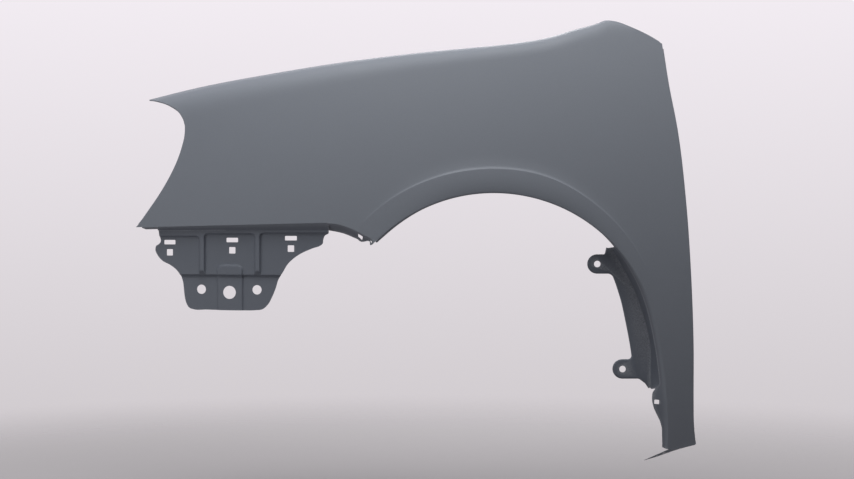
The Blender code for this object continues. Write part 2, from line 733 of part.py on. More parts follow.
def pillar_grid(skin, corner):
    """Return the flange at the windscreen pillar, with its bolt tab."""
    indexes = [index for index in range(corner) if skin[index][-1].x > RAIL_REAR + PILLAR_SETBACK]
    edge = [skin[index][-1] for index in indexes]
    frames = edge_frames(edge, [skin[index][-2] for index in indexes])
    bends = []
    for point in edge:
        distance = abs(point.x - REAR_TOP_REACH + PILLAR_TAB_INSET)
        tab = smooth((PILLAR_TAB_REACH - distance) / PILLAR_TAB_BLEND)
        bends.append([(PILLAR_TURN, PILLAR_FLANGE + (PILLAR_TAB - PILLAR_FLANGE) * tab)])
    return folded(edge, frames, bends)


def door_flange_grid(skin, corner):
    """Return the flange along the door edge."""
    edge = [column[-1] for column in skin[corner + 1:-1]]
    frames = edge_frames(edge, [column[-2] for column in skin[corner + 1:-1]])
    return folded(edge, frames, [[(DOOR_TURN, DOOR_FLANGE)] for _ in edge])


def foot_flange_grid(skin):
    """Return the flange under the foot, which ends in a tongue toward the wheel."""
    edge = [skin[-1][row] for row in range(len(skin[-1]) - 1)]
    total = (edge[-1] - edge[0]).length
    columns = []
    for point in edge:
        tongue = max(1 - (point - edge[0]).length / total, 0) ** TONGUE_POWER
        inboard = FOOT_FLANGE + (TONGUE_DEPTH - FOOT_FLANGE) * tongue
        fall = FOOT_FLANGE_DROP + (TONGUE_DROP - FOOT_FLANGE_DROP) * tongue
        middle, start = quarter_fold(point)
        run = Vector((-TONGUE_REACH * tongue, inboard, -fall))
        columns.append([point, middle, start, start + run / 2, start + run])
    return columns


def add_patch(bm, columns):
    """Add a grid of faces whose corners lie at the given points."""
    wide = len(columns) - 1
    tall = len(columns[0]) - 1
    grid = bmesh.ops.create_grid(bm, x_segments=wide, y_segments=tall, size=1)
    for vertex in grid["verts"]:
        index = round((vertex.co.x + 1) * wide / 2)
        row = round((vertex.co.y + 1) * tall / 2)
        vertex.co = columns[index][row]


def finish_sheet(bm, name, thickness, colour):
    """Turn an open sheet into an object whose thickness grows inboard."""
    bmesh.ops.remove_doubles(bm, verts=bm.verts, dist=MERGE_DISTANCE)
    bmesh.ops.recalc_face_normals(bm, faces=bm.faces)
    bm.faces.ensure_lookup_table()
    outward = sum(face.normal.y * face.calc_area() for face in bm.faces)
    if outward > 0:
        bmesh.ops.reverse_faces(bm, faces=bm.faces)
    mesh = bpy.data.meshes.new(name)
    bm.to_mesh(mesh)
    bm.free()
    mesh.shade_smooth()
    mesh.set_sharp_from_angle(angle=SHARP_ANGLE)
    mesh.materials.append(new_material(name, colour))
    sheet = bpy.data.objects.new(name, mesh)
    bpy.data.collections[COLLECTION_NAME].objects.link(sheet)
    solidify = sheet.modifiers.new("sheet", "SOLIDIFY")
    solidify.thickness = thickness
    solidify.offset = -1
    solidify.use_even_offset = True
    return sheet


def new_material(name, colour):
    """Return a satin paint."""
    material = bpy.data.materials.new(name)
    material.use_nodes = True
    shader = material.node_tree.nodes["Principled BSDF"]
    shader.inputs["Base Color"].default_value = colour
    shader.inputs["Roughness"].default_value = PAINT_ROUGHNESS
    shader.inputs["Metallic"].default_value = 0
    return material


def placed(centre, axis, along):
    """Return the placement whose Z lies on an axis and whose X lies near a direction."""
    across = axis.cross(along).normalized()
    frame = Matrix((across.cross(axis), across, axis)).transposed().to_4x4()
    frame.translation = centre
    return frame


def upright(centre):
    """Return the placement of a hole that runs straight inboard."""
    return placed(centre, INBOARD, REARWARD)


def drill(bm, frame, radius):
    """Add the cutter of a round hole."""
    bmesh.ops.create_cone(
        bm, cap_ends=True, segments=HOLE_SIDES, radius1=radius, radius2=radius, depth=CUT_DEPTH, matrix=frame,
    )


def pierce(bm, frame, wide, high):
    """Add the cutter of a rectangular hole."""
    bmesh.ops.create_cube(bm, size=1, matrix=frame @ Matrix.Diagonal((wide, high, CUT_DEPTH, 1)))


def cut_away(name, owner, bm):
    """Cut a set of closed shapes out of a sheet."""
    mesh = bpy.data.meshes.new(name)
    bm.to_mesh(mesh)
    bm.free()
    cutter = bpy.data.objects.new(name, mesh)
    cutter.display_type = "WIRE"
    cutter.hide_render = True
    bpy.data.collections[COLLECTION_NAME + "_cutters"].objects.link(cutter)
    cut = owner.modifiers.new(name, "BOOLEAN")
    cut.operation = "DIFFERENCE"
    cut.solver = "EXACT"
    cut.object = cutter


def trim_plate(panel):
    """Cut the plate's outline out of its blank."""
    bm = bmesh.new()
    face = bm.faces.new([bm.verts.new(point) for point in plate_trim()])
    grown = bmesh.ops.extrude_face_region(bm, geom=[face])
    moved = [item for item in grown["geom"] if isinstance(item, bmesh.types.BMVert)]
    bmesh.ops.translate(bm, verts=moved, vec=INBOARD * PLATE_TRIM_DEPTH)
    bmesh.ops.recalc_face_normals(bm, faces=bm.faces)
    cut_away("plate_trim", panel, bm)


def open_plate(bm):
    """Add the cutters of the plate's slots, square holes and round holes."""
    for across, rise in SLOT_SHARES:
        reach = PLATE_FRONT + PLATE_LENGTH * across
        drop = SLOT_DROP - SLOT_RISE * rise
        pierce(bm, upright(plate_point(reach, drop)), SLOT_LENGTH, SLOT_HEIGHT)
        pierce(bm, upright(plate_point(reach, drop + SQUARE_DROP)), SQUARE_SIZE, SQUARE_SIZE)
    centre = PLATE_FRONT + PLATE_LENGTH * CENTRE_HOLE_SHARE
    drill(bm, upright(plate_point(centre, CENTRE_HOLE_DROP)), CENTRE_HOLE_RADIUS)
    for across in BOLT_HOLE_SHARES:
        reach = PLATE_FRONT + PLATE_LENGTH * across
        drill(bm, upright(plate_point(reach, BOLT_HOLE_DROP)), BOLT_HOLE_RADIUS)


def open_skirt_flange(bm, flange):
    """Add the cutters of the slot in the skirt's flange and of the small hole in its ear."""
    before, after = flange[-len(BAND_ROW_SHARES)], flange[1 - len(BAND_ROW_SHARES)]
    fold = before[-2].lerp(after[-2], SKIRT_SLOT_ALONG_SHARE)
    end = before[-1].lerp(after[-1], SKIRT_SLOT_ALONG_SHARE)
    along = (after[-2] - before[-2]).normalized()
    frame = placed(fold.lerp(end, SKIRT_SLOT_ACROSS_SHARE), along.cross(end - fold).normalized(), along)
    pierce(bm, frame, SKIRT_SLOT_LENGTH, SKIRT_SLOT_WIDTH)
    fold = (flange[-2][-2] + flange[-1][-2]) / 2
    end = (flange[-2][-1] + flange[-1][-1]) / 2
    along = (flange[-1][-2] - flange[-2][-2]).normalized()
    frame = placed(fold.lerp(end, TIP_HOLE_ACROSS_SHARE), along.cross(end - fold).normalized(), along)
    drill(bm, frame, TIP_HOLE_RADIUS)


def nearest_column(columns, reach):
    """Return the column whose last point is nearest to an X."""
    return min(columns, key=lambda column: abs(column[-1].x - reach))


def open_flanges(bm, lip, rail, pillar, foot):
    """Add the cutters of the holes in the lip's tab, the rail, the pillar tab and the foot flange."""
    shares = arch_stations()[0][1:]
    column = min(zip(shares, lip), key=lambda pair: abs(pair[0] - LIP_HOLE_ALONG_SHARE))[1]
    centre = column[-2].lerp(column[-1], LIP_HOLE_ACROSS_SHARE)
    pierce(bm, upright(centre), LIP_HOLE_SIZE, LIP_HOLE_SIZE)
    for share in RAIL_PAD_SHARES:
        column = nearest_column(rail, RAIL_FRONT + RAIL_LENGTH * share)
        drill(bm, placed((column[-1] + column[-2]) / 2, DOWN, REARWARD), RAIL_HOLE_RADIUS)
    tab = nearest_column(pillar, REAR_TOP_REACH - PILLAR_TAB_INSET)
    drill(bm, placed(tab[-2].lerp(tab[-1], PILLAR_HOLE_SHARE), DOWN, REARWARD), PILLAR_HOLE_RADIUS)
    for share in TONGUE_HOLE_SHARES:
        drill(bm, placed(foot[1][2].lerp(foot[1][-1], share), DOWN, REARWARD), TONGUE_HOLE_RADIUS)
    row = foot[round(len(foot) * FOOT_HOLE_SHARE)]
    drill(bm, placed((row[2] + row[-1]) / 2, DOWN, REARWARD), TONGUE_HOLE_RADIUS)


def build_panel():
    """Build the stamped panel, and return its lip and its rail."""
    skin, crease_start, corner, (plate_start, plate_end) = skin_grid()
    band = band_grid()
    lip = lip_grid(band)
    rail = rail_grid(skin, corner)
    pillar = pillar_grid(skin, corner)
    foot = foot_flange_grid(skin)
    skirt = skirt_flange_grid(skin, band, crease_start, plate_end)
    plate = plate_grid([column[0] for column in skin[plate_start:plate_end + 1]])
    bm = bmesh.new()
    for columns in (
        skin, band, lip, rail, pillar, foot, skirt, plate,
        front_flange_grid(skin), headlight_flange_grid(skin), door_flange_grid(skin, corner),
    ):
        add_patch(bm, columns)
    panel = finish_sheet(bm, "fender_panel", SHEET, PAINT_COLOUR)
    trim_plate(panel)
    openings = bmesh.new()
    open_plate(openings)
    open_skirt_flange(openings, skirt)
    open_flanges(openings, lip, rail, pillar, foot)
    cut_away("panel_openings", panel, openings)
    return lip, rail


def round_corners(points, radii):
    """Return an outline whose corners are rounded by arcs."""
    result = [points[0]]
    for before, corner, after, radius in zip(points, points[1:], points[2:], radii[1:]):
        if not radius:
            result.append(corner)
            continue
        to_before = (before - corner).normalized()
        to_after = (after - corner).normalized()
        half = to_before.angle(to_after) / 2
        reach = radius / math.tan(half)
        centre = corner + (to_before + to_after).normalized() * radius / math.sin(half)
        start = corner + to_before * reach - centre
        end = corner + to_after * reach - centre
        for step in range(CORNER_STEPS + 1):
            place = centre + start.slerp(end, step / CORNER_STEPS) * radius
            if (place - result[-1]).length > MERGE_DISTANCE:
                result.append(place)
    return result + [points[-1]]


def ear_corners(centre):
    """Return the two corners that are rounded into an ear's free end."""
    return [centre + plan(-EAR_RADIUS, EAR_RADIUS), centre + plan(-EAR_RADIUS, -EAR_RADIUS)]


def bracket_outline():
    """Return the bracket's free edge from its top stub to its foot, and the centres of its ears."""
    upper = near_arch(UPPER_EAR_SHARES[0], UPPER_EAR_SHARES[1] * BRACKET_WIDTH)
    lower = near_arch(LOWER_EAR_SHARES[0], LOWER_EAR_SHARES[1] * BRACKET_WIDTH)
    stub, strip, foot = [
        [near_arch(share, across * BRACKET_WIDTH) for share, across in table]
        for table in (STUB_SHARES, STRIP_SHARES, FOOT_SHARES)
    ]
    points = [stub[0], plan(stub[1].x, upper.z + EAR_RADIUS)]
    radii = [0, STUB_FILLET]
    points += ear_corners(upper) + [upper + plan(EAR_RADIUS + EAR_NECK, -EAR_RADIUS)]
    radii += [EAR_RADIUS, EAR_RADIUS, EAR_FILLET]
    points += strip
    radii += [0] * len(strip)
    points += [plan(strip[-1].x, lower.z + EAR_RADIUS)] + ear_corners(lower)
    radii += [LOWER_EAR_FILLET, EAR_RADIUS, EAR_RADIUS]
    points += [plan(foot[0].x, lower.z - EAR_RADIUS)] + foot[1:]
    radii += [FOOT_FILLET] * len(foot)
    return round_corners(points, radii), (upper, lower)


def rim_columns(outline):
    """Return the turned rim along the bracket's free edge: a rounded bend, then a run inboard."""
    columns = []
    for index, point in enumerate(outline):
        along = (outline[min(index + 1, len(outline) - 1)] - outline[max(index - 1, 0)]).normalized()
        inside = plan(-along.z, along.x)
        column = []
        for step in range(FOLD_STEPS + 1):
            turn = QUARTER_TURN * step / FOLD_STEPS
            back = BRACKET_DEPTH + RIM_ROUND * (1 - math.cos(turn))
            column.append(point + inside * RIM_ROUND * (1 - math.sin(turn)) + INBOARD * back)
        columns.append(column + [point + INBOARD * (BRACKET_DEPTH + RIM_DEPTH)])
    return columns


def build_bracket(lip):
    """Build the liner bracket: a flat face with two ears, a wall, and a weld flange under the lip."""
    shares = arch_stations()[0][1:]
    spans = [index for index, share in enumerate(shares) if BRACKET_START_SHARE <= share <= BRACKET_END_SHARE]
    outline, ears = bracket_outline()
    back = INBOARD * BRACKET_DEPTH
    walls = []
    for index in reversed(spans):
        fold, end = lip[index][-2], lip[index][-1]
        after = lip[min(index + 1, len(lip) - 1)][-1] - lip[index - 1][-1]
        inward = (end - fold).cross(after).normalized()
        if inward.dot(INBOARD) < 0:
            inward.negate()
        lift = inward * (SHEET + SEAT_GAP)
        ridge = near_arch(shares[index], read_shares(RIDGE_SHARES, shares[index]) * BRACKET_WIDTH) + back
        walls.append([ridge, end + lift, end.lerp(fold, WELD_OVERLAP_SHARE) + lift])
    rim = rim_columns(outline)
    bm = bmesh.new()
    bm.faces.new([bm.verts.new(place) for place in [column[0] for column in rim] + [wall[0] for wall in walls]])
    add_patch(bm, walls)
    add_patch(bm, rim)
    bracket = finish_sheet(bm, "liner_bracket", BRACKET_SHEET, BRACKET_COLOUR)
    openings = bmesh.new()
    for ear in ears:
        drill(openings, upright(ear + back), EAR_HOLE_RADIUS)
    cut_away("bracket_holes", bracket, openings)


def rail_seat(rail):
    """Return a point on the underside of the rail, midway between two of its pads."""
    index = rail.index(nearest_column(rail, RAIL_FRONT + RAIL_LENGTH * RAIL_SEAT_SHARE))
    corners = [rail[index][-2], rail[index][-1], rail[index + 1][-1], rail[index + 1][-2]]
    normal = (corners[1] - corners[0]).cross(corners[3] - corners[0]).normalized()
    if normal.dot(DOWN) < 0:
        normal.negate()
    return sum(corners, Vector()) / 4 + normal * SHEET


def main():
    """Build the fender about its wheel centre, then move it onto its rail seat."""
    for item in list(bpy.data.objects):
        bpy.data.objects.remove(item)
    for name in (COLLECTION_NAME, COLLECTION_NAME + "_cutters"):
        bpy.context.scene.collection.children.link(bpy.data.collections.new(name))
    lip, rail = build_panel()
    build_bracket(lip)
    seat = rail_seat(rail)
    for item in bpy.data.objects:
        item.location -= seat


if __name__ == "__main__":
    main()
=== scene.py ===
"""Looks of a small car's left front fender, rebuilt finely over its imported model.

Sizes are in metres. The fender is laid out about the centre of its wheel arch, in the car's own
directions: the car's front is at -X, the outer side faces -Y, and +Z is up. Every finished mesh is
then moved by the place of the wheel centre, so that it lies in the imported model's frame.
"""
import logging
import math
from bisect import bisect_left
from dataclasses import dataclass, field
from enum import Enum

import bmesh
import bpy
from mathutils import Matrix, Vector
from mathutils.geometry import interpolate_bezier


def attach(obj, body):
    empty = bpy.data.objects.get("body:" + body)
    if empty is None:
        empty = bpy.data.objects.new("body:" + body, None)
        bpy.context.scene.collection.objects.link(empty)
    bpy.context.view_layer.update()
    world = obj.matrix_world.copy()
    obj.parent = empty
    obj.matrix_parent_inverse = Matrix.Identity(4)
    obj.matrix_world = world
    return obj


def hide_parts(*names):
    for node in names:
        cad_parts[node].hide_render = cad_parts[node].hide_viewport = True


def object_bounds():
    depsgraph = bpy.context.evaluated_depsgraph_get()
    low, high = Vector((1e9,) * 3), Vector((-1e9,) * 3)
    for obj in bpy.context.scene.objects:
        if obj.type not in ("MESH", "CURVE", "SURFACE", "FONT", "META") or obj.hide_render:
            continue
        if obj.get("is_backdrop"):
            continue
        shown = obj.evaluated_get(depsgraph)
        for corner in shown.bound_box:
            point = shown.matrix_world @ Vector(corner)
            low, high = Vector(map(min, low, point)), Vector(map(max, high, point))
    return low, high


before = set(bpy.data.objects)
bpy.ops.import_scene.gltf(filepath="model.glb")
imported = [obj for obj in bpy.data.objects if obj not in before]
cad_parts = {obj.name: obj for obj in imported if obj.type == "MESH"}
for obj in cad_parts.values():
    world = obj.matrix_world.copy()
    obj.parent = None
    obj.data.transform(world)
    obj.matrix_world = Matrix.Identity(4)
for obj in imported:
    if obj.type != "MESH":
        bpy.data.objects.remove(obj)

Column = list[Vector]
Grid = list[Column]
Shares = tuple[tuple[float, float], ...]
Bends = list[tuple[float, float]]

LOG = logging.getLogger("fender")
WHEEL_CENTRE = Vector((0.250783, -0.15307, -0.563541))
INBOARD = Vector((0, 1, 0))
DOWN = Vector((0, 0, -1))
REARWARD = Vector((1, 0, 0))
QUARTER_TURN = math.radians(90)
MERGE_DISTANCE = 0.00001
SORT_DIGITS = 6
SPLIT_SLACK = 0.001
SHARP_TURN = math.radians(32)
CUT_EDGE_TURN = SHARP_TURN * 1.6
INNER_START = 0.003
INNER_RUN = 0.006
NOISE_LOW, NOISE_HIGH = 0.3, 0.7
MIX_FACTOR, MIX_A, MIX_B, MIX_RESULT = 0, 6, 7, 2


class Node(Enum):
    """The CAD nodes that the fine pieces stand for."""

    PANEL = "fender_panel"
    BRACKET = "liner_bracket"


class Slot(Enum):
    """The record's material slots."""

    PANEL = "panel_paint"
    BRACKET = "bracket_paint"


class Mask(Enum):
    """The point attributes that the paint reads."""

    # Painted shade: 1 where a point lies recessed inboard of the skin, which darkens its paint.
    INNER = "inner_side"
    EDGE = "cut_edge"


def smooth(share: float) -> float:
    """Ease a share, held between 0 and 1, with level ends."""
    share = min(max(share, 0.0), 1.0)
    return share * share * (3 - 2 * share)


def read_shares(table: Shares, place: float) -> float:
    """Read a table of (place, value) pairs along a smooth line that never overshoots.

    Args:
        table: Pairs in the order of their places.
        place: Where to read.

    Returns:
        The value there.
    """
    if place <= table[0][0]:
        return table[0][1]
    if place >= table[-1][0]:
        return table[-1][1]
    rises = [(high - low) / (end - start) for (start, low), (end, high) in zip(table, table[1:])]
    index = bisect_left([knot[0] for knot in table], place) - 1
    slopes = []
    for knot in (index, index + 1):
        before, after = rises[max(knot - 1, 0)], rises[min(knot, len(rises) - 1)]
        slopes.append(2 * before * after / (before + after) if before * after > 0 else 0.0)
    (start, low), (end, high) = table[index], table[index + 1]
    span = end - start
    part = (place - start) / span
    ease = part * part * (3 - 2 * part)
    leaving = part * (1 - part) ** 2 * slopes[0] * span
    arriving = part * part * (1 - part) * slopes[1] * span
    return low + (high - low) * ease + leaving - arriving


def spread(start: float, end: float, spans: int) -> list[float]:
    """Return a number of values spread evenly from a start toward an end, without the end."""
    return [start + (end - start) * step / spans for step in range(spans)]


def split(stations: list[float], widest: float) -> list[float]:
    """Split each span of a list of stations into equal parts.

    Args:
        stations: Values in rising order.
        widest: The widest part that is left.

    Returns:
        The stations with the new ones between them.
    """
    result: list[float] = []
    for start, end in zip(stations, stations[1:]):
        result += spread(start, end, max(1, math.ceil((end - start) / widest - SPLIT_SLACK)))
    return result + [stations[-1]]


def plan(reach: float, height: float) -> Vector:
    """Return a point of an outline, before its depth is known."""
    return Vector((reach, 0, height))


class Curve:
    """A line of points, read by its share of length or by its X."""

    def __init__(self, points: Column, rounded: bool = False, steps: int = 24) -> None:
        """Take the points, or pass a smooth line through them.

        Args:
            points: The points in order.
            rounded: Whether a smooth line passes through the points.
            steps: How many parts each span of a smooth line has.
        """
        self.points = self.round_through(points, steps) if rounded else points
        self.reaches = [point.x for point in self.points]
        self.lengths = [0.0]
        for start, end in zip(self.points, self.points[1:]):
            self.lengths.append(self.lengths[-1] + (end - start).length)
        self.length = self.lengths[-1]

    @staticmethod
    def round_through(points: Column, steps: int) -> Column:
        """Pass a smooth line through a few chosen points.

        Args:
            points: The chosen points.
            steps: How many parts each span gets.

        Returns:
            The points of the smooth line.
        """
        spans = [(end - start).length for start, end in zip(points, points[1:])]
        slopes = [(end - start) / span for start, end, span in zip(points, points[1:], spans)]
        tangents = [slopes[0]]
        for index in range(1, len(slopes)):
            before, after = spans[index - 1], spans[index]
            tangents.append((slopes[index - 1] * after + slopes[index] * before) / (before + after))
        tangents.append(slopes[-1])
        result = [points[0]]
        for index, span in enumerate(spans):
            start, end = points[index], points[index + 1]
            reach = span / 3
            knots = (start, start + tangents[index] * reach, end - tangents[index + 1] * reach, end)
            result += interpolate_bezier(*knots, steps + 1)[1:]
        return result

    def at(self, share: float) -> Vector:
        """Return the point at a share of the length.

        Args:
            share: The share; it is held between 0 and 1.

        Returns:
            The point.
        """
        distance = min(max(share, 0.0), 1.0) * self.length
        index = min(max(bisect_left(self.lengths, distance), 1), len(self.points) - 1)
        span = self.lengths[index] - self.lengths[index - 1]
        return self.points[index - 1].lerp(self.points[index], (distance - self.lengths[index - 1]) / span)

    def side(self, share: float, step: float = 1 / 144) -> Vector:
        """Return the unit direction away from the wheel centre, square to the line."""
        along = (self.at(share + step) - self.at(share - step)).normalized()
        return Vector((-along.z, 0, along.x))

    def share_at_reach(self, reach: float) -> float:
        """Return the share of length where the line passes an X, for a line that runs rearward.

        Args:
            reach: The X; it is held between the ends.

        Returns:
            The share of length.
        """
        index = min(max(bisect_left(self.reaches, reach), 1), len(self.points) - 1)
        start, end = self.points[index - 1], self.points[index]
        part = min(max((reach - start.x) / (end.x - start.x), 0.0), 1.0)
        span = self.lengths[index] - self.lengths[index - 1]
        return (self.lengths[index - 1] + part * span) / self.length


@dataclass
class SheetMetal:
    """The pressed steel sheet and how finely its folds are drawn."""

    panel: float = 0.0008
    bracket: float = 0.0012
    seat_gap: float = 0.0003
    fold_radius: float = 0.0015
    arch_radius: float = 0.003
    fold_steps: int = 6
    run_steps: int = 3

    def folded(self, edge: Column, frames: Grid, bends: list[Bends], radius: float | None = None) -> Grid:
        """Walk the sheet off an edge through a row of bends.

        Args:
            edge: The points of the edge.
            frames: For each point the way off the edge and the way inboard.
            bends: For each point its (turn in degrees, run) bends.
            radius: The radius of the bends, or nothing for the usual tight one.

        Returns:
            The columns of the folded sheet, one for each point of the edge.
        """
        columns = []
        for point, (off, inward), walk in zip(edge, frames, bends):
            place = point.copy()
            heading = 0.0
            column = [place.copy()]
            for turn, run in walk:
                step = math.radians(turn) / self.fold_steps
                chord = 2 * (radius or self.fold_radius) * math.sin(abs(step) / 2)
                for _ in range(self.fold_steps):
                    middle = heading + step / 2
                    place += (off * math.cos(middle) + inward * math.sin(middle)) * chord
                    heading += step
                    column.append(place.copy())
                for _ in range(self.run_steps):
                    place += (off * math.cos(heading) + inward * math.sin(heading)) * run / self.run_steps
                    column.append(place.copy())
            columns.append(column)
        return columns

    def quarter_fold(self, point: Vector) -> Column:
        """Return the points of a fold from a lower edge toward the inboard side.

        Args:
            point: A point of the edge.

        Returns:
            The points that follow it.
        """
        places = []
        for step in range(1, self.fold_steps + 1):
            turn = QUARTER_TURN * step / self.fold_steps
            back = self.fold_radius * (1 - math.cos(turn))
            places.append(point + Vector((0, back, -self.fold_radius * math.sin(turn))))
        return places


def edge_frames(edge: Column, inner: Column, window: int = 2) -> Grid:
    """Find how the sheet runs off each point of an edge.

    Args:
        edge: The points of the edge.
        inner: The next points inside the sheet.
        window: How many neighbours on each side give the edge's direction.

    Returns:
        For each point the way off the edge and the way inboard.
    """
    frames = []
    for index, point in enumerate(edge):
        before = edge[max(index - window, 0)]
        after = edge[min(index + window, len(edge) - 1)]
        along = (after - before).normalized()
        off = point - inner[index]
        off = (off - along * off.dot(along)).normalized()
        inward = along.cross(off).normalized()
        if inward.dot(INBOARD) < 0:
            inward.negate()
        frames.append([off, inward])
    return frames


def add_patch(bm: bmesh.types.BMesh, columns: Grid) -> None:
    """Add a grid of faces whose corners lie at the given points.

    Args:
        bm: The mesh that grows.
        columns: The points, column by column.
    """
    wide = len(columns) - 1
    tall = len(columns[0]) - 1
    grid = bmesh.ops.create_grid(bm, x_segments=wide, y_segments=tall, size=1)
    for vertex in grid["verts"]:
        index = round((vertex.co.x + 1) * wide / 2)
        row = round((vertex.co.y + 1) * tall / 2)
        vertex.co = columns[index][row]


def placed(centre: Vector, axis: Vector, along: Vector) -> Matrix:
    """Return the placement whose Z lies on an axis and whose X lies near a direction.

    Args:
        centre: Its origin.
        axis: The direction of its Z.
        along: The direction that its X lies near.

    Returns:
        The placement.
    """
    across = axis.cross(along).normalized()
    turned = Matrix((across.cross(axis), across, axis)).transposed().to_4x4()
    turned.translation = centre
    return turned


def upright(centre: Vector) -> Matrix:
    """Return the placement of a hole that runs straight inboard."""
    return placed(centre, INBOARD, REARWARD)


@dataclass
class Punch:
    """The punches that open the sheet."""

    depth: float = 0.024
    sides: int = 48
    corner: float = 0.0014
    corner_segments: int = 5

    def drill(self, bm: bmesh.types.BMesh, place: Matrix, radius: float) -> None:
        """Add the punch of a round hole.

        Args:
            bm: The mesh of punches that grows.
            place: The hole's placement.
            radius: The hole's radius.
        """
        bmesh.ops.create_cone(
            bm, cap_ends=True, segments=self.sides, radius1=radius, radius2=radius, depth=self.depth,
            matrix=place,
        )

    def pierce(self, bm: bmesh.types.BMesh, place: Matrix, wide: float, high: float) -> None:
        """Add the punch of a rectangular hole with rounded corners.

        Args:
            bm: The mesh of punches that grows.
            place: The hole's placement.
            wide: The hole's size along the placement's X.
            high: The hole's size along the placement's Y.
        """
        cube = bmesh.ops.create_cube(bm, size=1, matrix=Matrix.Diagonal((wide, high, self.depth, 1)))
        corners = dict.fromkeys(
            edge for vertex in cube["verts"] for edge in vertex.link_edges
            if abs(edge.verts[0].co.z - edge.verts[1].co.z) > self.depth / 2
        )
        rounded = bmesh.ops.bevel(
            bm, geom=list(corners), offset=self.corner, affect="EDGES", segments=self.corner_segments,
            profile=0.5, material=-1,
        )
        verts = {vertex for vertex in cube["verts"] if vertex.is_valid} | set(rounded["verts"])
        for face in rounded["faces"]:
            verts |= {vertex for edge in face.edges for vertex in edge.verts}
            verts |= {vertex for near in face.verts for link in near.link_faces for vertex in link.verts}
        bmesh.ops.transform(bm, matrix=place, verts=list(verts))


def add_object(name: str, data: bpy.types.ID) -> bpy.types.Object:
    """Add an object with its data to the scene.

    Args:
        name: The object's name.
        data: Its data.

    Returns:
        The object.
    """
    made = bpy.data.objects.new(name, data)
    bpy.context.scene.collection.objects.link(made)
    return made


def add_mesh(name: str, bm: bmesh.types.BMesh) -> bpy.types.Object:
    """Add an object with a finished mesh to the scene.

    Args:
        name: The object's name.
        bm: Its mesh; it is freed.

    Returns:
        The object.
    """
    mesh = bpy.data.meshes.new(name)
    bm.to_mesh(mesh)
    bm.free()
    return add_object(name, mesh)


def settle_order(bm: bmesh.types.BMesh) -> None:
    """Put a mesh's vertices and faces in the order of their places, so that each run gives the same mesh.

    Args:
        bm: The mesh. An extrusion or a bevel left its parts in an order that varies from run to run.
    """
    ways = [(bm.verts, lambda vertex: vertex.co), (bm.faces, lambda face: face.calc_center_median())]
    for parts, place in ways:
        ranked = sorted(parts, key=lambda part: place(part).to_tuple(SORT_DIGITS))
        for rank, part in enumerate(ranked):
            part.index = rank
        parts.sort()


def cut_away(owner: bpy.types.Object, name: str, bm: bmesh.types.BMesh) -> None:
    """Cut a set of closed shapes out of a piece.

    Args:
        owner: The piece that is cut.
        name: The name of the cut.
        bm: The closed shapes; it is freed.
    """
    settle_order(bm)
    cutter = add_mesh(name, bm)
    cut = owner.modifiers.new(name, "BOOLEAN")
    cut.operation = "DIFFERENCE"
    cut.solver = "EXACT"
    cut.object = cutter
    bpy.context.view_layer.update()
    apply_modifiers(owner)
    bpy.data.objects.remove(cutter)


def apply_modifiers(piece: bpy.types.Object) -> None:
    """Give a piece the mesh that its modifiers make, and drop them.

    Args:
        piece: The piece.
    """
    graph = bpy.context.evaluated_depsgraph_get()
    mesh = bpy.data.meshes.new_from_object(piece.evaluated_get(graph), depsgraph=graph)
    piece.modifiers.clear()
    piece.data = mesh


def sheet_piece(bm: bmesh.types.BMesh, name: str, thickness: float) -> bpy.types.Object:
    """Turn an open sheet into a piece whose thickness grows inboard.

    Args:
        bm: The open sheet; it is freed.
        name: The piece's name.
        thickness: The sheet's thickness.

    Returns:
        The piece, with its thickness applied.
    """
    bmesh.ops.remove_doubles(bm, verts=bm.verts, dist=MERGE_DISTANCE)
    bmesh.ops.recalc_face_normals(bm, faces=bm.faces)
    if sum(face.normal.y * face.calc_area() for face in bm.faces) > 0:
        bmesh.ops.reverse_faces(bm, faces=bm.faces)
    piece = add_mesh(name, bm)
    solidify = piece.modifiers.new("sheet", "SOLIDIFY")
    solidify.thickness = thickness
    solidify.offset = -1
    solidify.use_even_offset = True
    bpy.context.view_layer.update()
    apply_modifiers(piece)
    return piece


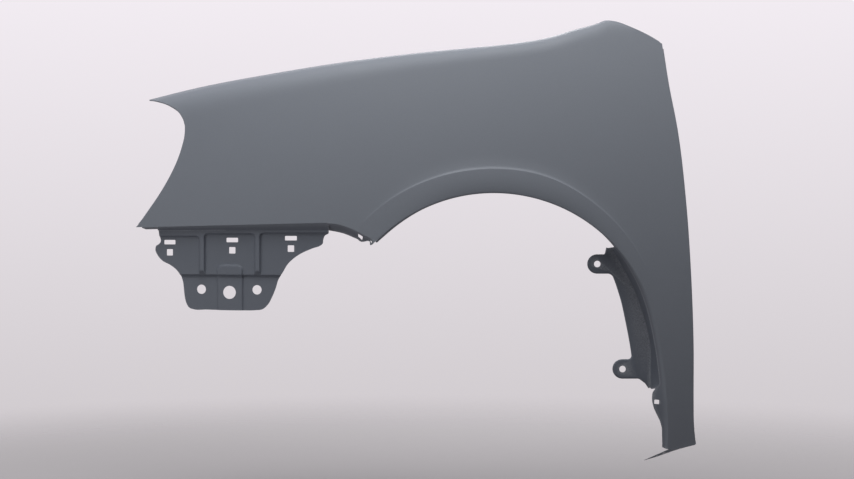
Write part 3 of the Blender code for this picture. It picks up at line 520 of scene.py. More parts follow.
@dataclass
class WheelArch:
    """The wheel-arch edge, the flare crease above it and the blunt tip in front."""

    radius: float = 0.321
    tip_turn: float = math.radians(136.4)
    leg_turn: float = math.radians(17)
    foot_reach: float = 0.3435
    foot_drop: float = 0.182
    leg_pull_share: float = 0.3
    band_width: float = 0.045
    blunt_turn: float = math.radians(35.4)
    blunt_bow: float = 0.0045
    flare: float = 0.0035
    band_power: float = 3.0
    band_bulge: float = 0.0002
    flare_blend: float = 0.028
    band_start_share: float = 0.1
    band_shares: Shares = (
        (0, 0.96), (0.05, 0.98), (0.1, 1), (0.33, 1), (0.5, 0.72), (0.66, 0.42), (0.8, 0.24), (1, 0.2),
    )
    flare_shares: Shares = (
        (0, 0), (0.06, 0.2), (0.14, 0.65), (0.24, 1), (0.4, 1), (0.5, 0.55), (0.62, 0.1), (0.7, 0), (1, 0),
    )
    bow_shares: Shares = ((0, 0), (0.4, 0.55), (0.8, 1), (1, 0))
    row_shares: tuple[float, ...] = (0, 0.03, 0.08, 0.16, 0.28, 0.42, 0.56, 0.7, 0.8, 0.87, 0.94, 1)
    span_shares: Shares = (
        (0, 1), (0.005, 1), (0.024, 18), (0.5555, 3), (0.63, 12), (0.874, 8), (0.975, 1), (1, 0),
    )
    corner_share: float = 0.63
    lip_start_share: float = 0.005
    leg_steps: int = 72
    fineness: int = 4
    edge: Curve = field(init=False)
    stations: list[float] = field(init=False)

    def __post_init__(self) -> None:
        """Lay out the edge and its columns."""
        self.edge = self.edge_curve()
        self.stations = []
        for (start, spans), (end, _) in zip(self.span_shares, self.span_shares[1:]):
            self.stations += spread(start, end, int(spans) * self.fineness)
        self.stations.append(self.span_shares[-1][0])

    def edge_curve(self, steps: int = 240) -> Curve:
        """Return the edge: an arc, then the front edge of the rear leg.

        Args:
            steps: How many parts the arc has.

        Returns:
            The edge, from the front tip to the foot.
        """
        arc = []
        for step in range(steps + 1):
            turn = self.tip_turn + (self.leg_turn - self.tip_turn) * step / steps
            arc.append(plan(self.radius * math.cos(turn), self.radius * math.sin(turn)))
        foot = plan(self.foot_reach, -self.foot_drop)
        pull = (foot - arc[-1]).length * self.leg_pull_share
        leaving = arc[-1] + plan(math.sin(self.leg_turn), -math.cos(self.leg_turn)) * pull
        leg = interpolate_bezier(arc[-1], leaving, foot - DOWN * pull, foot, self.leg_steps)
        return Curve(arc + leg[1:])

    def near(self, share: float, inset: float) -> Vector:
        """Return the point at an inset from the edge, toward the wheel."""
        return self.edge.at(share) - self.edge.side(share) * inset

    def crease(self, share: float) -> Vector:
        """Return the crease's point beside a share of the edge.

        Args:
            share: The share of the edge's length.

        Returns:
            The crease's point.
        """
        start = plan(-math.cos(self.blunt_turn), math.sin(self.blunt_turn))
        direction = start.lerp(self.edge.side(share), smooth(share / self.band_start_share)).normalized()
        return self.edge.at(share) + direction * self.band_width * read_shares(self.band_shares, share)

    def station(self, share: float) -> int:
        """Return the index of the column nearest to a share of the edge."""
        return min(range(len(self.stations)), key=lambda index: abs(self.stations[index] - share))


@dataclass
class Skin:
    """The outer skin: its outline, its double curvature and its shoulder."""

    arch: WheelArch
    front_reach: float = 0.719
    skirt_height: float = 0.2615
    skirt_fall: float = 0.008
    skirt_bend_reach: float = 0.330
    skirt_pull_share: float = 0.38
    skirt_end_turn: float = math.radians(24)
    front_top_setback: float = 0.012
    front_top_height: float = 0.520
    headlight_bow: float = 0.100
    headlight_shares: Shares = (
        (0, 0), (0.04, 0.1), (0.12, 0.262), (0.24, 0.495), (0.36, 0.693), (0.475, 0.848), (0.6, 0.968),
        (0.715, 1.028), (0.78, 1.02), (0.835, 0.96), (0.875, 0.885), (0.91, 0.775), (0.945, 0.6),
        (0.975, 0.37),
    )
    headlight_fade_power: float = 1.6
    rear_top_reach: float = 0.335
    rear_top_height: float = 0.615
    peak_height: float = 0.6644
    top_shares: Shares = (
        (0.1, 0.1465), (0.256, 0.3243), (0.405, 0.4757), (0.55, 0.5917), (0.695, 0.6897), (0.745, 0.7334),
        (0.79, 0.7937), (0.84, 0.8916), (0.878, 0.9562), (0.897, 1), (0.911, 0.9854), (0.944, 0.8855),
        (0.978, 0.7597),
    )
    leg_width: float = 0.053
    foot_rise: float = 0.010
    door_shares: Shares = (
        (0.1, 0.14), (0.22, 0.38), (0.4, 0.6), (0.575, 0.74), (0.75, 0.84), (0.9, 0.885), (0.945, 0.91),
        (0.975, 0.95),
    )
    widest_reach: float = 0.129
    widest_height: float = 0.178
    nose_inset: float = 0.150
    nose_power: float = 2.4
    rear_inset: float = 0.0045
    peak_inset: float = 0.0794
    foot_inset: float = 0.0405
    roll_inset: float = 0.0554
    roll_height: float = 0.042
    roll_front_height: float = 0.080
    roll_shares: Shares = (
        (0, 0), (0.167, 0.001), (0.262, 0.005), (0.357, 0.013), (0.452, 0.029), (0.548, 0.057),
        (0.667, 0.116), (0.786, 0.234), (0.845, 0.325), (0.886, 0.424), (1, 1),
    )
    roll_crowding: float = 1.7
    roll_full_reach: float = 0.080
    roll_end_reach: float = 0.290
    top_meets_crease_share: float = 0.433
    column_fit_share: float = 0.75
    crease_share: float = 0.45
    crease_run_share: float = 0.2
    flare_rows: tuple[float, ...] = (0, 0.025, 0.05, 0.08, 0.115, 0.16, 0.22, 0.3, 0.4, 0.52, 0.66, 0.82)
    skirt_steps: int = 48
    middle_rows: int = 18
    roll_steps: int = 27
    skirt: Curve = field(init=False)
    headlight: Curve = field(init=False)
    top: Curve = field(init=False)
    door: Curve = field(init=False)

    def __post_init__(self) -> None:
        """Lay out the four outer edges."""
        low = self.skirt_height - self.skirt_fall
        tip = plan(-self.front_reach, low)
        bend = plan(-self.skirt_bend_reach, self.skirt_height)
        end = self.arch.crease(0)
        pull = (end - bend).length * self.skirt_pull_share
        arriving = end + plan(-math.cos(self.skirt_end_turn), math.sin(self.skirt_end_turn)) * pull
        leaving = bend + (bend - tip).normalized() * pull
        sweep = interpolate_bezier(bend, leaving, arriving, end, self.skirt_steps)
        self.skirt = Curve([tip] + list(sweep))
        rise = self.front_top_height - low
        points = [
            plan(-self.front_reach + self.headlight_bow * bow, low + rise * up)
            for up, bow in self.headlight_shares
        ]
        front_top = plan(-self.front_top_reach, self.front_top_height)
        self.headlight = Curve(points + [front_top], rounded=True)
        length = self.rear_top_reach + self.front_top_reach
        rise = self.peak_height - self.front_top_height
        points = [
            plan(front_top.x + length * along, front_top.z + rise * up) for along, up in self.top_shares
        ]
        corner = plan(self.rear_top_reach, self.rear_top_height)
        self.top = Curve([front_top] + points + [corner], rounded=True)
        foot = plan(self.arch.foot_reach + self.leg_width, self.foot_rise - self.arch.foot_drop)
        points = [
            plan(corner.x + (foot.x - corner.x) * shift, corner.z + (foot.z - corner.z) * drop)
            for drop, shift in self.door_shares
        ]
        self.door = Curve([corner] + points + [foot], rounded=True)

    @property
    def front_top_reach(self) -> float:
        """How far the upper front tip lies ahead of the wheel centre."""
        return self.front_reach - self.front_top_setback

    def height_of_roll(self, reach: float) -> float:
        """Return the height of the shoulder's roll, taller toward the headlight."""
        ahead = min(max(-reach / self.front_top_reach, 0.0), 1.0)
        return self.roll_height + (self.roll_front_height - self.roll_height) * ahead

    def depth(self, reach: float, height: float) -> float:
        """Return how far inboard the skin lies, without its flare.

        Args:
            reach: The place along the car.
            height: The place above the wheel centre.

        Returns:
            The depth from the widest plane.
        """
        ahead = self.widest_reach - reach
        if ahead > 0:
            inset = self.nose_inset * (ahead / (self.widest_reach + self.front_reach)) ** self.nose_power
        else:
            behind = self.arch.foot_reach + self.leg_width - self.widest_reach
            inset = self.rear_inset * (ahead / behind) ** 2
        above = height - self.widest_height
        if above > 0:
            inset += self.peak_inset * (above / (self.peak_height - self.widest_height)) ** 2
        else:
            inset += self.foot_inset * (above / (self.widest_height + self.arch.foot_drop)) ** 2
        top = self.top.at(self.top.share_at_reach(reach)).z
        rise = 1 - (top - height) / self.height_of_roll(reach)
        if rise > 0:
            fade = smooth((self.roll_end_reach - reach) / (self.roll_end_reach - self.roll_full_reach))
            inset += self.roll_inset * fade * read_shares(self.roll_shares, rise)
        return inset

    def row_places(self, length: float, reach: float) -> list[float]:
        """Return where the rows cross a column, close together at its flare and its roll.

        Args:
            length: The column's length.
            reach: The X of its outer end.

        Returns:
            The rows as shares of the column, from 0 to 1.
        """
        blend = self.arch.flare_blend
        roll = self.height_of_roll(reach)
        fit = min(1, length * self.column_fit_share / (blend + roll))
        low = [blend * fit * share / length for share in self.flare_rows]
        start = blend * fit / length
        high = []
        for share in spread(0, 1, self.roll_steps):
            high.append(1 - roll * fit * (1 - share) ** self.roll_crowding / length)
        return low + spread(start, high[0], self.middle_rows) + high + [1]

    def lift(self, distance: float) -> float:
        """Return the share of the flare's lift at a distance above the crease.

        Args:
            distance: The distance above the crease.

        Returns:
            The share, 1 at the crease and 0 where the flare has ended.
        """
        wide = max(1 - distance / self.arch.flare_blend, 0) ** 2
        near = max(1 - distance / (self.arch.flare_blend * self.crease_run_share), 0) ** 2
        return wide + (near - wide) * self.crease_share

    def column(self, inner: Vector, outer: Vector, bow: float, flare: float) -> Column:
        """Return one column of the skin.

        Args:
            inner: Its end at the skirt or the crease.
            outer: Its end at the top or the door edge.
            bow: How much of the headlight edge's bow it takes.
            flare: How much of the flare it takes.

        Returns:
            Its points from the inner end to the outer one.
        """
        column = []
        length = (outer - inner).length
        for share in self.row_places(length, outer.x):
            place = inner.lerp(outer, share)
            if bow:
                chord = self.headlight.at(0).lerp(self.headlight.at(1), share)
                place += (self.headlight.at(share) - chord) * bow
            proud = self.arch.flare * flare * self.lift(share * length)
            column.append(Vector((place.x, self.depth(place.x, place.z) - proud, place.z)))
        return column

    def grid(self, skirt_stations: list[float]) -> Grid:
        """Return the skin's columns, first those above the skirt and then those above the arch.

        Args:
            skirt_stations: The X of the columns above the skirt.

        Returns:
            The columns, each from its inner end to its outer one.
        """
        columns = []
        meets = self.top_meets_crease_share
        for reach in skirt_stations:
            share = self.skirt.share_at_reach(reach)
            bow = (1 - share) ** self.headlight_fade_power
            columns.append(self.column(self.skirt.at(share), self.top.at(meets * share), bow, 0))
        turn = self.arch.corner_share
        for share in self.arch.stations:
            if share <= turn:
                outer = self.top.at(meets + (1 - meets) * share / turn)
            else:
                outer = self.door.at((share - turn) / (1 - turn))
            flare = read_shares(self.arch.flare_shares, share)
            columns.append(self.column(self.arch.crease(share), outer, 0, flare))
        return columns

    def band(self) -> Grid:
        """Return the columns of the flat band between the crease and the arch edge.

        Returns:
            The columns, each from the crease to the edge.
        """
        arch = self.arch
        side = plan(math.sin(arch.blunt_turn), math.cos(arch.blunt_turn))
        columns = []
        for share in arch.stations:
            crease, edge = arch.crease(share), arch.edge.at(share)
            flare = read_shares(arch.flare_shares, share)
            bow = side * arch.blunt_bow * (1 - smooth(share / arch.band_start_share))
            column = []
            for row in arch.row_shares:
                place = crease.lerp(edge, row) + bow * read_shares(arch.bow_shares, row)
                proud = arch.flare * (1 - row ** arch.band_power) + arch.band_bulge * 4 * row * (1 - row)
                column.append(Vector((place.x, self.depth(place.x, place.z) - proud * flare, place.z)))
            columns.append(column)
        return columns


@dataclass
class BumperPlate:
    """The joggled and ribbed plate under the skirt, which carries the bumper's end."""

    skin: Skin
    metal: SheetMetal
    height: float = 0.2575
    front_setback: float = 0.046
    rear_clearance: float = 0.0538
    bulge: float = 0.012
    bulge_run: float = 0.030
    relief: float = 0.0003
    drop: float = 0.1695
    trim_depth: float = 0.200
    trim_steps: int = 10
    trim_margin: float = 0.010
    ledge_drop: float = 0.0105
    ledge_inset: float = 0.013
    pocket_depth: float = 0.0055
    pocket_flank: float = 0.004
    pocket_corner: float = 0.009
    pocket_drops: tuple[float, float, float] = (0.0205, 0.0155, 0.0145)
    joggle_drop: float = 0.1005
    joggle_run: float = 0.004
    joggle_depth: float = 0.0045
    joggle_dip: float = 0.0009
    joggle_dip_run: float = 0.004
    front_rib: float = 0.0935
    rear_rib: float = 0.2082
    rib_width: float = 0.007
    rib_end_run: float = 0.008
    dome: float = 0.1512
    dome_width: float = 0.048
    dome_flank: float = 0.004
    dome_corner: float = 0.014
    dome_proud: float = 0.0036
    dome_height: float = 0.0225
    outline_shares: Shares = (
        (0.0034, 0), (0.008, 0.072), (0.0134, 0.142), (0.0028, 0.173), (-0.0137, 0.195), (-0.0193, 0.247),
        (-0.0051, 0.316), (0.0245, 0.386), (0.0708, 0.437), (0.1129, 0.506), (0.136, 0.577),
        (0.1482, 0.655), (0.1542, 0.759), (0.1607, 0.863), (0.1701, 0.93), (0.1863, 0.979), (0.2148, 1),
        (0.2873, 1), (0.4011, 1.004), (0.4922, 1.004), (0.5775, 1), (0.6188, 0.987), (0.6526, 0.922),
        (0.6751, 0.833), (0.6947, 0.73), (0.7144, 0.601), (0.7357, 0.532), (0.7664, 0.421),
        (0.8139, 0.328), (0.9075, 0.226), (0.9516, 0.192), (0.9644, 0.169), (0.969, 0.116),
        (0.9772, 0.069), (1, 0.035), (1, 0),
    )
    slot_length: float = 0.0238
    slot_height: float = 0.0088
    square_size: float = 0.0128
    slot_shares: Shares = ((0.07, 0), (0.4444, 0.55), (0.7844, 1))
    slot_drop: float = 0.0342
    slot_rise: float = 0.0079
    square_drop: float = 0.0205
    bolt_radius: float = 0.0093
    centre_radius: float = 0.0130
    bolt_shares: tuple[float, float] = (0.2597, 0.5875)
    bolt_drop: float = 0.1288
    centre_share: float = 0.4276
    centre_drop: float = 0.1344
    ramp_shares: tuple[float, ...] = (0.2, 0.4, 0.6, 0.8)
    spacing: float = 0.0022
    flank_spacing: float = 0.0009
    rib_end_spacing: float = 0.00135

    @property
    def front(self) -> float:
        """The X of its front end."""
        return self.front_setback - self.skin.front_reach

    @property
    def rear(self) -> float:
        """The X of its rear end."""
        return self.skin.arch.crease(0).x - self.rear_clearance

    @property
    def length(self) -> float:
        """Its length along the skirt."""
        return self.rear - self.front

    def stations(self) -> list[float]:
        """Return its columns as X, close together at the flanks of its ribs and its dome.

        Returns:
            The X of each column, from the front to the rear.
        """
        lines = []
        for place, width, flank in (
            (self.front_rib, self.rib_width, self.pocket_flank),
            (self.dome, self.dome_width, self.dome_flank),
            (self.rear_rib, self.rib_width, self.pocket_flank),
        ):
            for side in (-1, 1):
                edge = self.front + place + side * width / 2
                lines.append(sorted((edge, edge + side * flank)))
        lines.sort()
        result = []
        last = self.front
        for start, end in lines:
            result += split([last, start], self.spacing)[:-1]
            result += split([start, end], self.flank_spacing)[:-1]
            last = end
        return result + split([last, self.rear], self.spacing)

    def drops(self) -> list[float]:
        """Return its rows as drops below the skirt, from the ledge to the foot.

        Returns:
            The drop of each row, from the top to the foot.
        """
        low = self.joggle_drop - self.joggle_run / 2
        top_of_dome = self.joggle_drop - self.dome_height
        pocket_end = max(self.pocket_drops) + self.pocket_flank
        rows = split([self.ledge_drop, min(self.pocket_drops)], self.flank_spacing)[:-1]
        rows += split([min(self.pocket_drops), pocket_end], self.flank_spacing)[:-1]
        rows += split([pocket_end, top_of_dome], self.spacing)[:-1]
        rows += split([top_of_dome, top_of_dome + self.dome_flank], self.flank_spacing)[:-1]
        rows += split([top_of_dome + self.dome_flank, low - self.rib_end_run], self.spacing)[:-1]
        rows += split([low - self.rib_end_run, low], self.rib_end_spacing)[:-1]
        rows += split([low, low + self.joggle_run], self.flank_spacing)[:-1]
        return rows + split([low + self.joggle_run, self.drop + self.metal.fold_radius], self.spacing)

    @staticmethod
    def inside(
        reach: float, drop: float, sides: tuple[float, float], top: float, corner: float, flank: float,
    ) -> float:
        """Return how far a place lies inside a sunk or raised panel that is open at its foot.

        Args:
            reach: The place along the car.
            drop: The place below the skirt.
            sides: The X of the panel's front and rear sides.
            top: The drop of its top side.
            corner: The radius of its top corners.
            flank: The width of its sloping border.

        Returns:
            0 outside, 1 within the border, and an eased share on the border.
        """
        side = min(reach - sides[0], sides[1] - reach)
        below = drop - top
        if side < corner and below < corner:
            inside = corner - math.hypot(corner - side, corner - below)
        else:
            inside = min(side, below)
        return smooth(inside / flank)

    def inset(self, reach: float, drop: float) -> float:
        """Return how far the plate lies behind the skirt's edge at a place.

        Args:
            reach: The place along the car.
            drop: The place below the skirt.

        Returns:
            The distance inboard of the skirt's edge.
        """
        half = self.rib_width / 2
        front_rib, rear_rib = self.front + self.front_rib, self.front + self.rear_rib
        top = self.joggle_drop - self.joggle_run / 2
        sunk = smooth((drop - top + self.rib_end_run) / self.rib_end_run)
        pockets = (
            (self.front - self.length, front_rib - half),
            (front_rib + half, rear_rib - half),
            (rear_rib + half, self.rear + self.length),
        )
        for sides, pocket_top in zip(pockets, self.pocket_drops):
            share = self.inside(reach, drop, sides, pocket_top, self.pocket_corner, self.pocket_flank)
            sunk = max(sunk, share)
        half = self.dome_width / 2 + self.dome_flank
        sides = (self.front + self.dome - half, self.front + self.dome + half)
        dome = self.inside(
            reach, drop, sides, self.joggle_drop - self.dome_height, self.dome_corner, self.dome_flank,
        )
        low = self.joggle_depth * smooth((drop - top) / self.joggle_run)
        low += self.joggle_dip * max(1 - abs(drop - top - self.joggle_run) / self.joggle_dip_run, 0)
        return self.ledge_inset + self.pocket_depth * sunk + low - self.dome_proud * dome

    def point(self, reach: float, drop: float) -> Vector:
        """Return the plate's outer surface at a place."""
        depth = self.skin.depth(reach, self.height)
        return Vector((reach, depth + self.inset(reach, drop), self.height - drop))

    def grid(self, skirt_edge: Column) -> Grid:
        """Return the columns of the plate's blank, which start on the skirt's edge.

        Args:
            skirt_edge: The points of the skirt's edge above the plate.

        Returns:
            The blank's columns.
        """
        columns = []
        drops = self.drops()
        for point in skirt_edge:
            fold = self.metal.quarter_fold(point)
            ledge = self.point(point.x, self.ledge_drop)
            ramp = [fold[-1].lerp(ledge, share) for share in self.ramp_shares]
            bulge = self.bulge * max(1 - (point.x - self.front) / self.bulge_run, 0)
            column = [point, *fold, *ramp, ledge]
            columns.append(column + [self.point(point.x - bulge, drop) for drop in drops[1:]])
        return columns

    def trim(self) -> bmesh.types.BMesh:
        """Return the punch of the scrap round the plate.

        Returns:
            The punch's closed shape.
        """
        top = self.height - self.ledge_drop
        foot = self.height - self.drop
        points = [
            plan(self.front + self.length * across, top + (foot - top) * down)
            for across, down in self.outline_shares
        ]
        points = Curve(points, rounded=True, steps=self.trim_steps).points
        front = self.front - self.bulge - self.trim_margin
        rear = self.rear + self.relief / 2
        low = foot - self.trim_margin
        points += [plan(rear, top), plan(rear, low), plan(front, low), plan(front, top)]
        bm = bmesh.new()
        face = bm.faces.new([bm.verts.new(point) for point in points])
        grown = bmesh.ops.extrude_face_region(bm, geom=[face])
        moved = [item for item in grown["geom"] if isinstance(item, bmesh.types.BMVert)]
        bmesh.ops.translate(bm, verts=moved, vec=INBOARD * self.trim_depth)
        bmesh.ops.recalc_face_normals(bm, faces=bm.faces)
        return bm

    def open(self, bm: bmesh.types.BMesh, punch: Punch) -> None:
        """Add the punches of the slots, the square holes and the round holes.

        Args:
            bm: The mesh of punches that grows.
            punch: The punches' sizes.
        """
        for across, rise in self.slot_shares:
            reach = self.front + self.length * across
            drop = self.slot_drop - self.slot_rise * rise
            punch.pierce(bm, upright(self.point(reach, drop)), self.slot_length, self.slot_height)
            square = upright(self.point(reach, drop + self.square_drop))
            punch.pierce(bm, square, self.square_size, self.square_size)
        centre = self.front + self.length * self.centre_share
        punch.drill(bm, upright(self.point(centre, self.centre_drop)), self.centre_radius)
        for across in self.bolt_shares:
            reach = self.front + self.length * across
            punch.drill(bm, upright(self.point(reach, self.bolt_drop)), self.bolt_radius)


@dataclass
class Flanges:
    """The folded edges of the panel, with their tabs and holes."""

    skin: Skin
    plate: BumperPlate
    metal: SheetMetal
    lip_width: float = 0.013
    lip_tab_width: float = 0.032
    lip_shares: Shares = (
        (0, 0), (0.862, 0), (0.874, 0.55), (0.886, 0.95), (0.9, 1), (0.916, 0.88), (0.93, 0.6),
        (0.945, 0.22), (0.96, 0.03), (1, 0),
    )
    lip_start_width: float = 0.004
    lip_grow_share: float = 0.03
    lip_turns: Shares = (
        (0, 90), (0.5, 88), (0.62, 72), (0.75, 56), (0.86, 48), (0.9, 40), (0.94, 46), (1, 56),
    )
    lip_hole: float = 0.0085
    lip_hole_along: float = 0.901
    lip_hole_across: float = 0.68
    skirt_width: float = 0.0305
    skirt_shares: Shares = (
        (0, 0.9), (0.25, 1), (0.55, 1), (0.75, 0.7), (0.9, 0.23), (0.94, 0.33), (0.97, 0.34), (1, 0.14),
    )
    skirt_lean: float = 0.006
    skirt_lean_run: float = 0.030
    skirt_turns: Shares = ((0, 64), (0.6, 62), (0.72, 50), (0.92, 38), (1, 30))
    front_width: float = 0.014
    front_turn: float = 80
    front_setback: float = 0.013
    slot_length: float = 0.011
    slot_width: float = 0.012
    slot_row: float = 0.28
    slot_across: float = 0.43
    tip_hole: float = 0.002
    tip_hole_row: float = 0.9
    tip_hole_across: float = 0.45
    headlight_width: float = 0.018
    headlight_turn: float = 90
    headlight_start: float = 0.007
    headlight_plain: float = 0.085
    headlight_taper: float = 0.060
    headlight_end: float = 0.03
    rail_setback: float = 0.047
    rail_trim: float = 0.015
    rail_length: float = 0.832
    rail_depth: float = 0.024
    rail_width: float = 0.024
    rail_turn: float = 90
    pad_width: float = 0.010
    pad_reach: float = 0.0675
    pad_blend: float = 0.045
    pad_shares: tuple[float, ...] = (0.12, 0.36, 0.62, 0.88)
    bolt_hole: float = 0.0045
    pillar_setback: float = 0.025
    pillar_width: float = 0.014
    pillar_turn: float = 88
    tab_width: float = 0.034
    tab_inset: float = 0.050
    tab_reach: float = 0.044
    tab_blend: float = 0.022
    tab_hole_share: float = 0.6
    door_width: float = 0.012
    door_turn: float = 92
    foot_width: float = 0.028
    foot_drop: float = 0.005
    tongue_depth: float = 0.055
    tongue_drop: float = 0.0283
    tongue_reach: float = 0.039
    tongue_power: float = 2.5
    tongue_steps: int = 6
    tongue_hole: float = 0.0035
    tongue_hole_setback: float = 0.007
    tongue_hole_shares: tuple[float, float] = (0.42, 0.78)
    foot_hole_share: float = 0.7

    @property
    def rail_front(self) -> float:
        """The X of the rail's front end."""
        return self.rail_setback - self.skin.front_reach

    @property
    def rail_rear(self) -> float:
        """The X of the rail's rear end."""
        return self.rail_front + self.rail_length

    def lip(self, band: Grid) -> Grid:
        """Return the wheel-arch lip, which widens to a screw tab near the foot.

        Args:
            band: The band's columns.

        Returns:
            The lip's columns.
        """
        first = self.skin.arch.station(self.skin.arch.lip_start_share)
        shares = self.skin.arch.stations[first:]
        edge = [column[-1] for column in band[first:]]
        inner = [column[-2] for column in band[first:]]
        bends = []
        for share in shares:
            run = self.lip_start_width
            run += (self.lip_width - self.lip_start_width) * smooth(share / self.lip_grow_share)
            run += (self.lip_tab_width - self.lip_width) * read_shares(self.lip_shares, share)
            bends.append([(read_shares(self.lip_turns, share), run)])
        return self.metal.folded(edge, edge_frames(edge, inner), bends, self.metal.arch_radius)

    def under_skirt(self, behind_plate: Grid, band: Grid) -> Grid:
        """Return the sloping flange behind the plate, which ends in a small ear at the arch's tip.

        Args:
            behind_plate: The skin's columns behind the plate.
            band: The band's columns.

        Returns:
            The flange's columns.
        """
        edge = [column[0] for column in behind_plate] + band[0]
        inner = [column[1] for column in behind_plate] + band[1]
        line = Curve(edge)
        bends = []
        for distance in line.lengths:
            share = distance / line.length
            run = self.skirt_width * read_shares(self.skirt_shares, share)
            bends.append([(read_shares(self.skirt_turns, share), run)])
        columns = self.metal.folded(edge, edge_frames(edge, inner, window=4), bends)
        for column, distance in zip(columns, line.lengths):
            lean = self.skirt_lean * smooth(1 - distance / self.skirt_lean_run)
            for index, place in enumerate(column):
                place.x -= lean * index / len(column)
        return columns

    def ahead_of_plate(self, columns: Grid) -> Grid:
        """Return the short flange ahead of the plate.

        Args:
            columns: The skin's columns ahead of the plate.

        Returns:
            The flange's columns.
        """
        edge = [column[0] for column in columns]
        frames = edge_frames(edge, [column[1] for column in columns])
        return self.metal.folded(edge, frames, [[(self.front_turn, self.front_width)] for _ in edge])

    def behind_headlight(self, skin: Grid) -> Grid:
        """Return the flange behind the headlight edge.

        Args:
            skin: The skin's columns.

        Returns:
            The flange's columns.
        """
        rows = range(1, len(skin[0]) - 2)
        rows = [row for row in rows if (skin[0][row] - skin[0][0]).length > self.headlight_start]
        edge = [skin[0][row] for row in rows]
        line = Curve(edge)
        bends = []
        for distance in line.lengths:
            full = smooth((line.length - distance - self.headlight_plain) / self.headlight_taper)
            width = self.headlight_width * (self.headlight_end + (1 - self.headlight_end) * full)
            bends.append([(self.headlight_turn, width)])
        return self.metal.folded(edge, edge_frames(edge, [skin[1][row] for row in rows]), bends)

    def rail(self, top_edge: Column) -> Grid:
        """Return the bonnet gap wall and the bolted rail at its foot.

        Args:
            top_edge: The points of the skin's top edge.

        Returns:
            The columns of the wall and the rail.
        """
        front = self.rail_front + self.rail_trim
        edge = [point for point in top_edge if front < point.x < self.rail_rear]
        bends = []
        for point in edge:
            pad = 0.0
            for share in self.pad_shares:
                distance = abs(point.x - self.rail_front - self.rail_length * share)
                pad = max(pad, smooth((self.pad_reach - distance) / self.pad_blend))
            width = self.rail_width + self.pad_width * pad
            bends.append([(self.rail_turn, self.rail_depth), (-self.rail_turn, width)])
        return self.metal.folded(edge, [[INBOARD, DOWN] for _ in edge], bends)

    def pillar(self, columns: Grid) -> Grid:
        """Return the flange at the windscreen pillar, with its bolt tab.

        Args:
            columns: The skin's columns that end on the top edge.

        Returns:
            The flange's columns.
        """
        columns = [column for column in columns if column[-1].x > self.rail_rear + self.pillar_setback]
        edge = [column[-1] for column in columns]
        bends = []
        for point in edge:
            distance = abs(point.x - self.skin.rear_top_reach + self.tab_inset)
            tab = smooth((self.tab_reach - distance) / self.tab_blend)
            bends.append([(self.pillar_turn, self.pillar_width + (self.tab_width - self.pillar_width) * tab)])
        return self.metal.folded(edge, edge_frames(edge, [column[-2] for column in columns]), bends)

    def at_door(self, columns: Grid) -> Grid:
        """Return the flange along the door edge.

        Args:
            columns: The skin's columns that end on the door edge.

        Returns:
            The flange's columns.
        """
        edge = [column[-1] for column in columns]
        frames = edge_frames(edge, [column[-2] for column in columns])
        return self.metal.folded(edge, frames, [[(self.door_turn, self.door_width)] for _ in edge])

    def foot(self, last_column: Column) -> Grid:
        """Return the flange under the foot, which ends in a tongue toward the wheel.

        Args:
            last_column: The foot's edge, from the wheel arch to the door.

        Returns:
            The flange's columns.
        """
        edge = last_column[:-2]
        total = (edge[-1] - edge[0]).length
        columns = []
        for point in edge:
            tongue = max(1 - (point - edge[0]).length / total, 0) ** self.tongue_power
            inboard = self.foot_width + (self.tongue_depth - self.foot_width) * tongue
            fall = self.foot_drop + (self.tongue_drop - self.foot_drop) * tongue
            fold = self.metal.quarter_fold(point)
            start = point + Vector((0, self.metal.fold_radius, -self.metal.fold_radius))
            run = Vector((-self.tongue_reach * tongue, inboard, -fall))
            flat = [start + run * step / self.tongue_steps for step in range(1, self.tongue_steps + 1)]
            columns.append([point, *fold, *flat])
        return columns

    def open(self, bm: bmesh.types.BMesh, punch: Punch, grids: dict[str, Grid]) -> None:
        """Add the punches of the holes in the folded edges.

        Args:
            bm: The mesh of punches that grows.
            punch: The punches' sizes.
            grids: The folded edges by name.
        """
        arch = self.skin.arch
        column = grids["lip"][arch.station(self.lip_hole_along) - arch.station(arch.lip_start_share)]
        fold, end = column[self.metal.fold_steps], column[-1]
        punch.pierce(bm, upright(fold.lerp(end, self.lip_hole_across)), self.lip_hole, self.lip_hole)
        ear = grids["under_skirt"][-len(arch.row_shares):]
        for row, across in ((self.slot_row, self.slot_across), (self.tip_hole_row, self.tip_hole_across)):
            index = min(range(1, len(ear) - 1), key=lambda near: abs(arch.row_shares[near] - row))
            before, fold, after = [column[self.metal.fold_steps] for column in ear[index - 1:index + 2]]
            end = ear[index][-1]
            along = (after - before).normalized()
            place = placed(fold.lerp(end, across), along.cross(end - fold).normalized(), along)
            if row == self.slot_row:
                punch.pierce(bm, place, self.slot_length, self.slot_width)
            else:
                punch.drill(bm, place, self.tip_hole)
        for share in self.pad_shares:
            reach = self.rail_front + self.rail_length * share
            column = min(grids["rail"], key=lambda near: abs(near[-1].x - reach))
            centre = (column[-1] + column[-1 - self.metal.run_steps]) / 2
            punch.drill(bm, placed(centre, DOWN, REARWARD), self.bolt_hole)
        reach = self.skin.rear_top_reach - self.tab_inset
        column = min(grids["pillar"], key=lambda near: abs(near[-1].x - reach))
        centre = column[self.metal.fold_steps].lerp(column[-1], self.tab_hole_share)
        punch.drill(bm, placed(centre, DOWN, REARWARD), self.bolt_hole)
        start = self.metal.fold_steps
        foot = grids["foot"]
        column = min(foot, key=lambda near: abs((near[0] - foot[0][0]).length - self.tongue_hole_setback))
        for share in self.tongue_hole_shares:
            centre = column[start].lerp(column[-1], share)
            punch.drill(bm, placed(centre, DOWN, REARWARD), self.tongue_hole)
        column = foot[round(len(foot) * self.foot_hole_share)]
        punch.drill(bm, placed((column[start] + column[-1]) / 2, DOWN, REARWARD), self.tongue_hole)


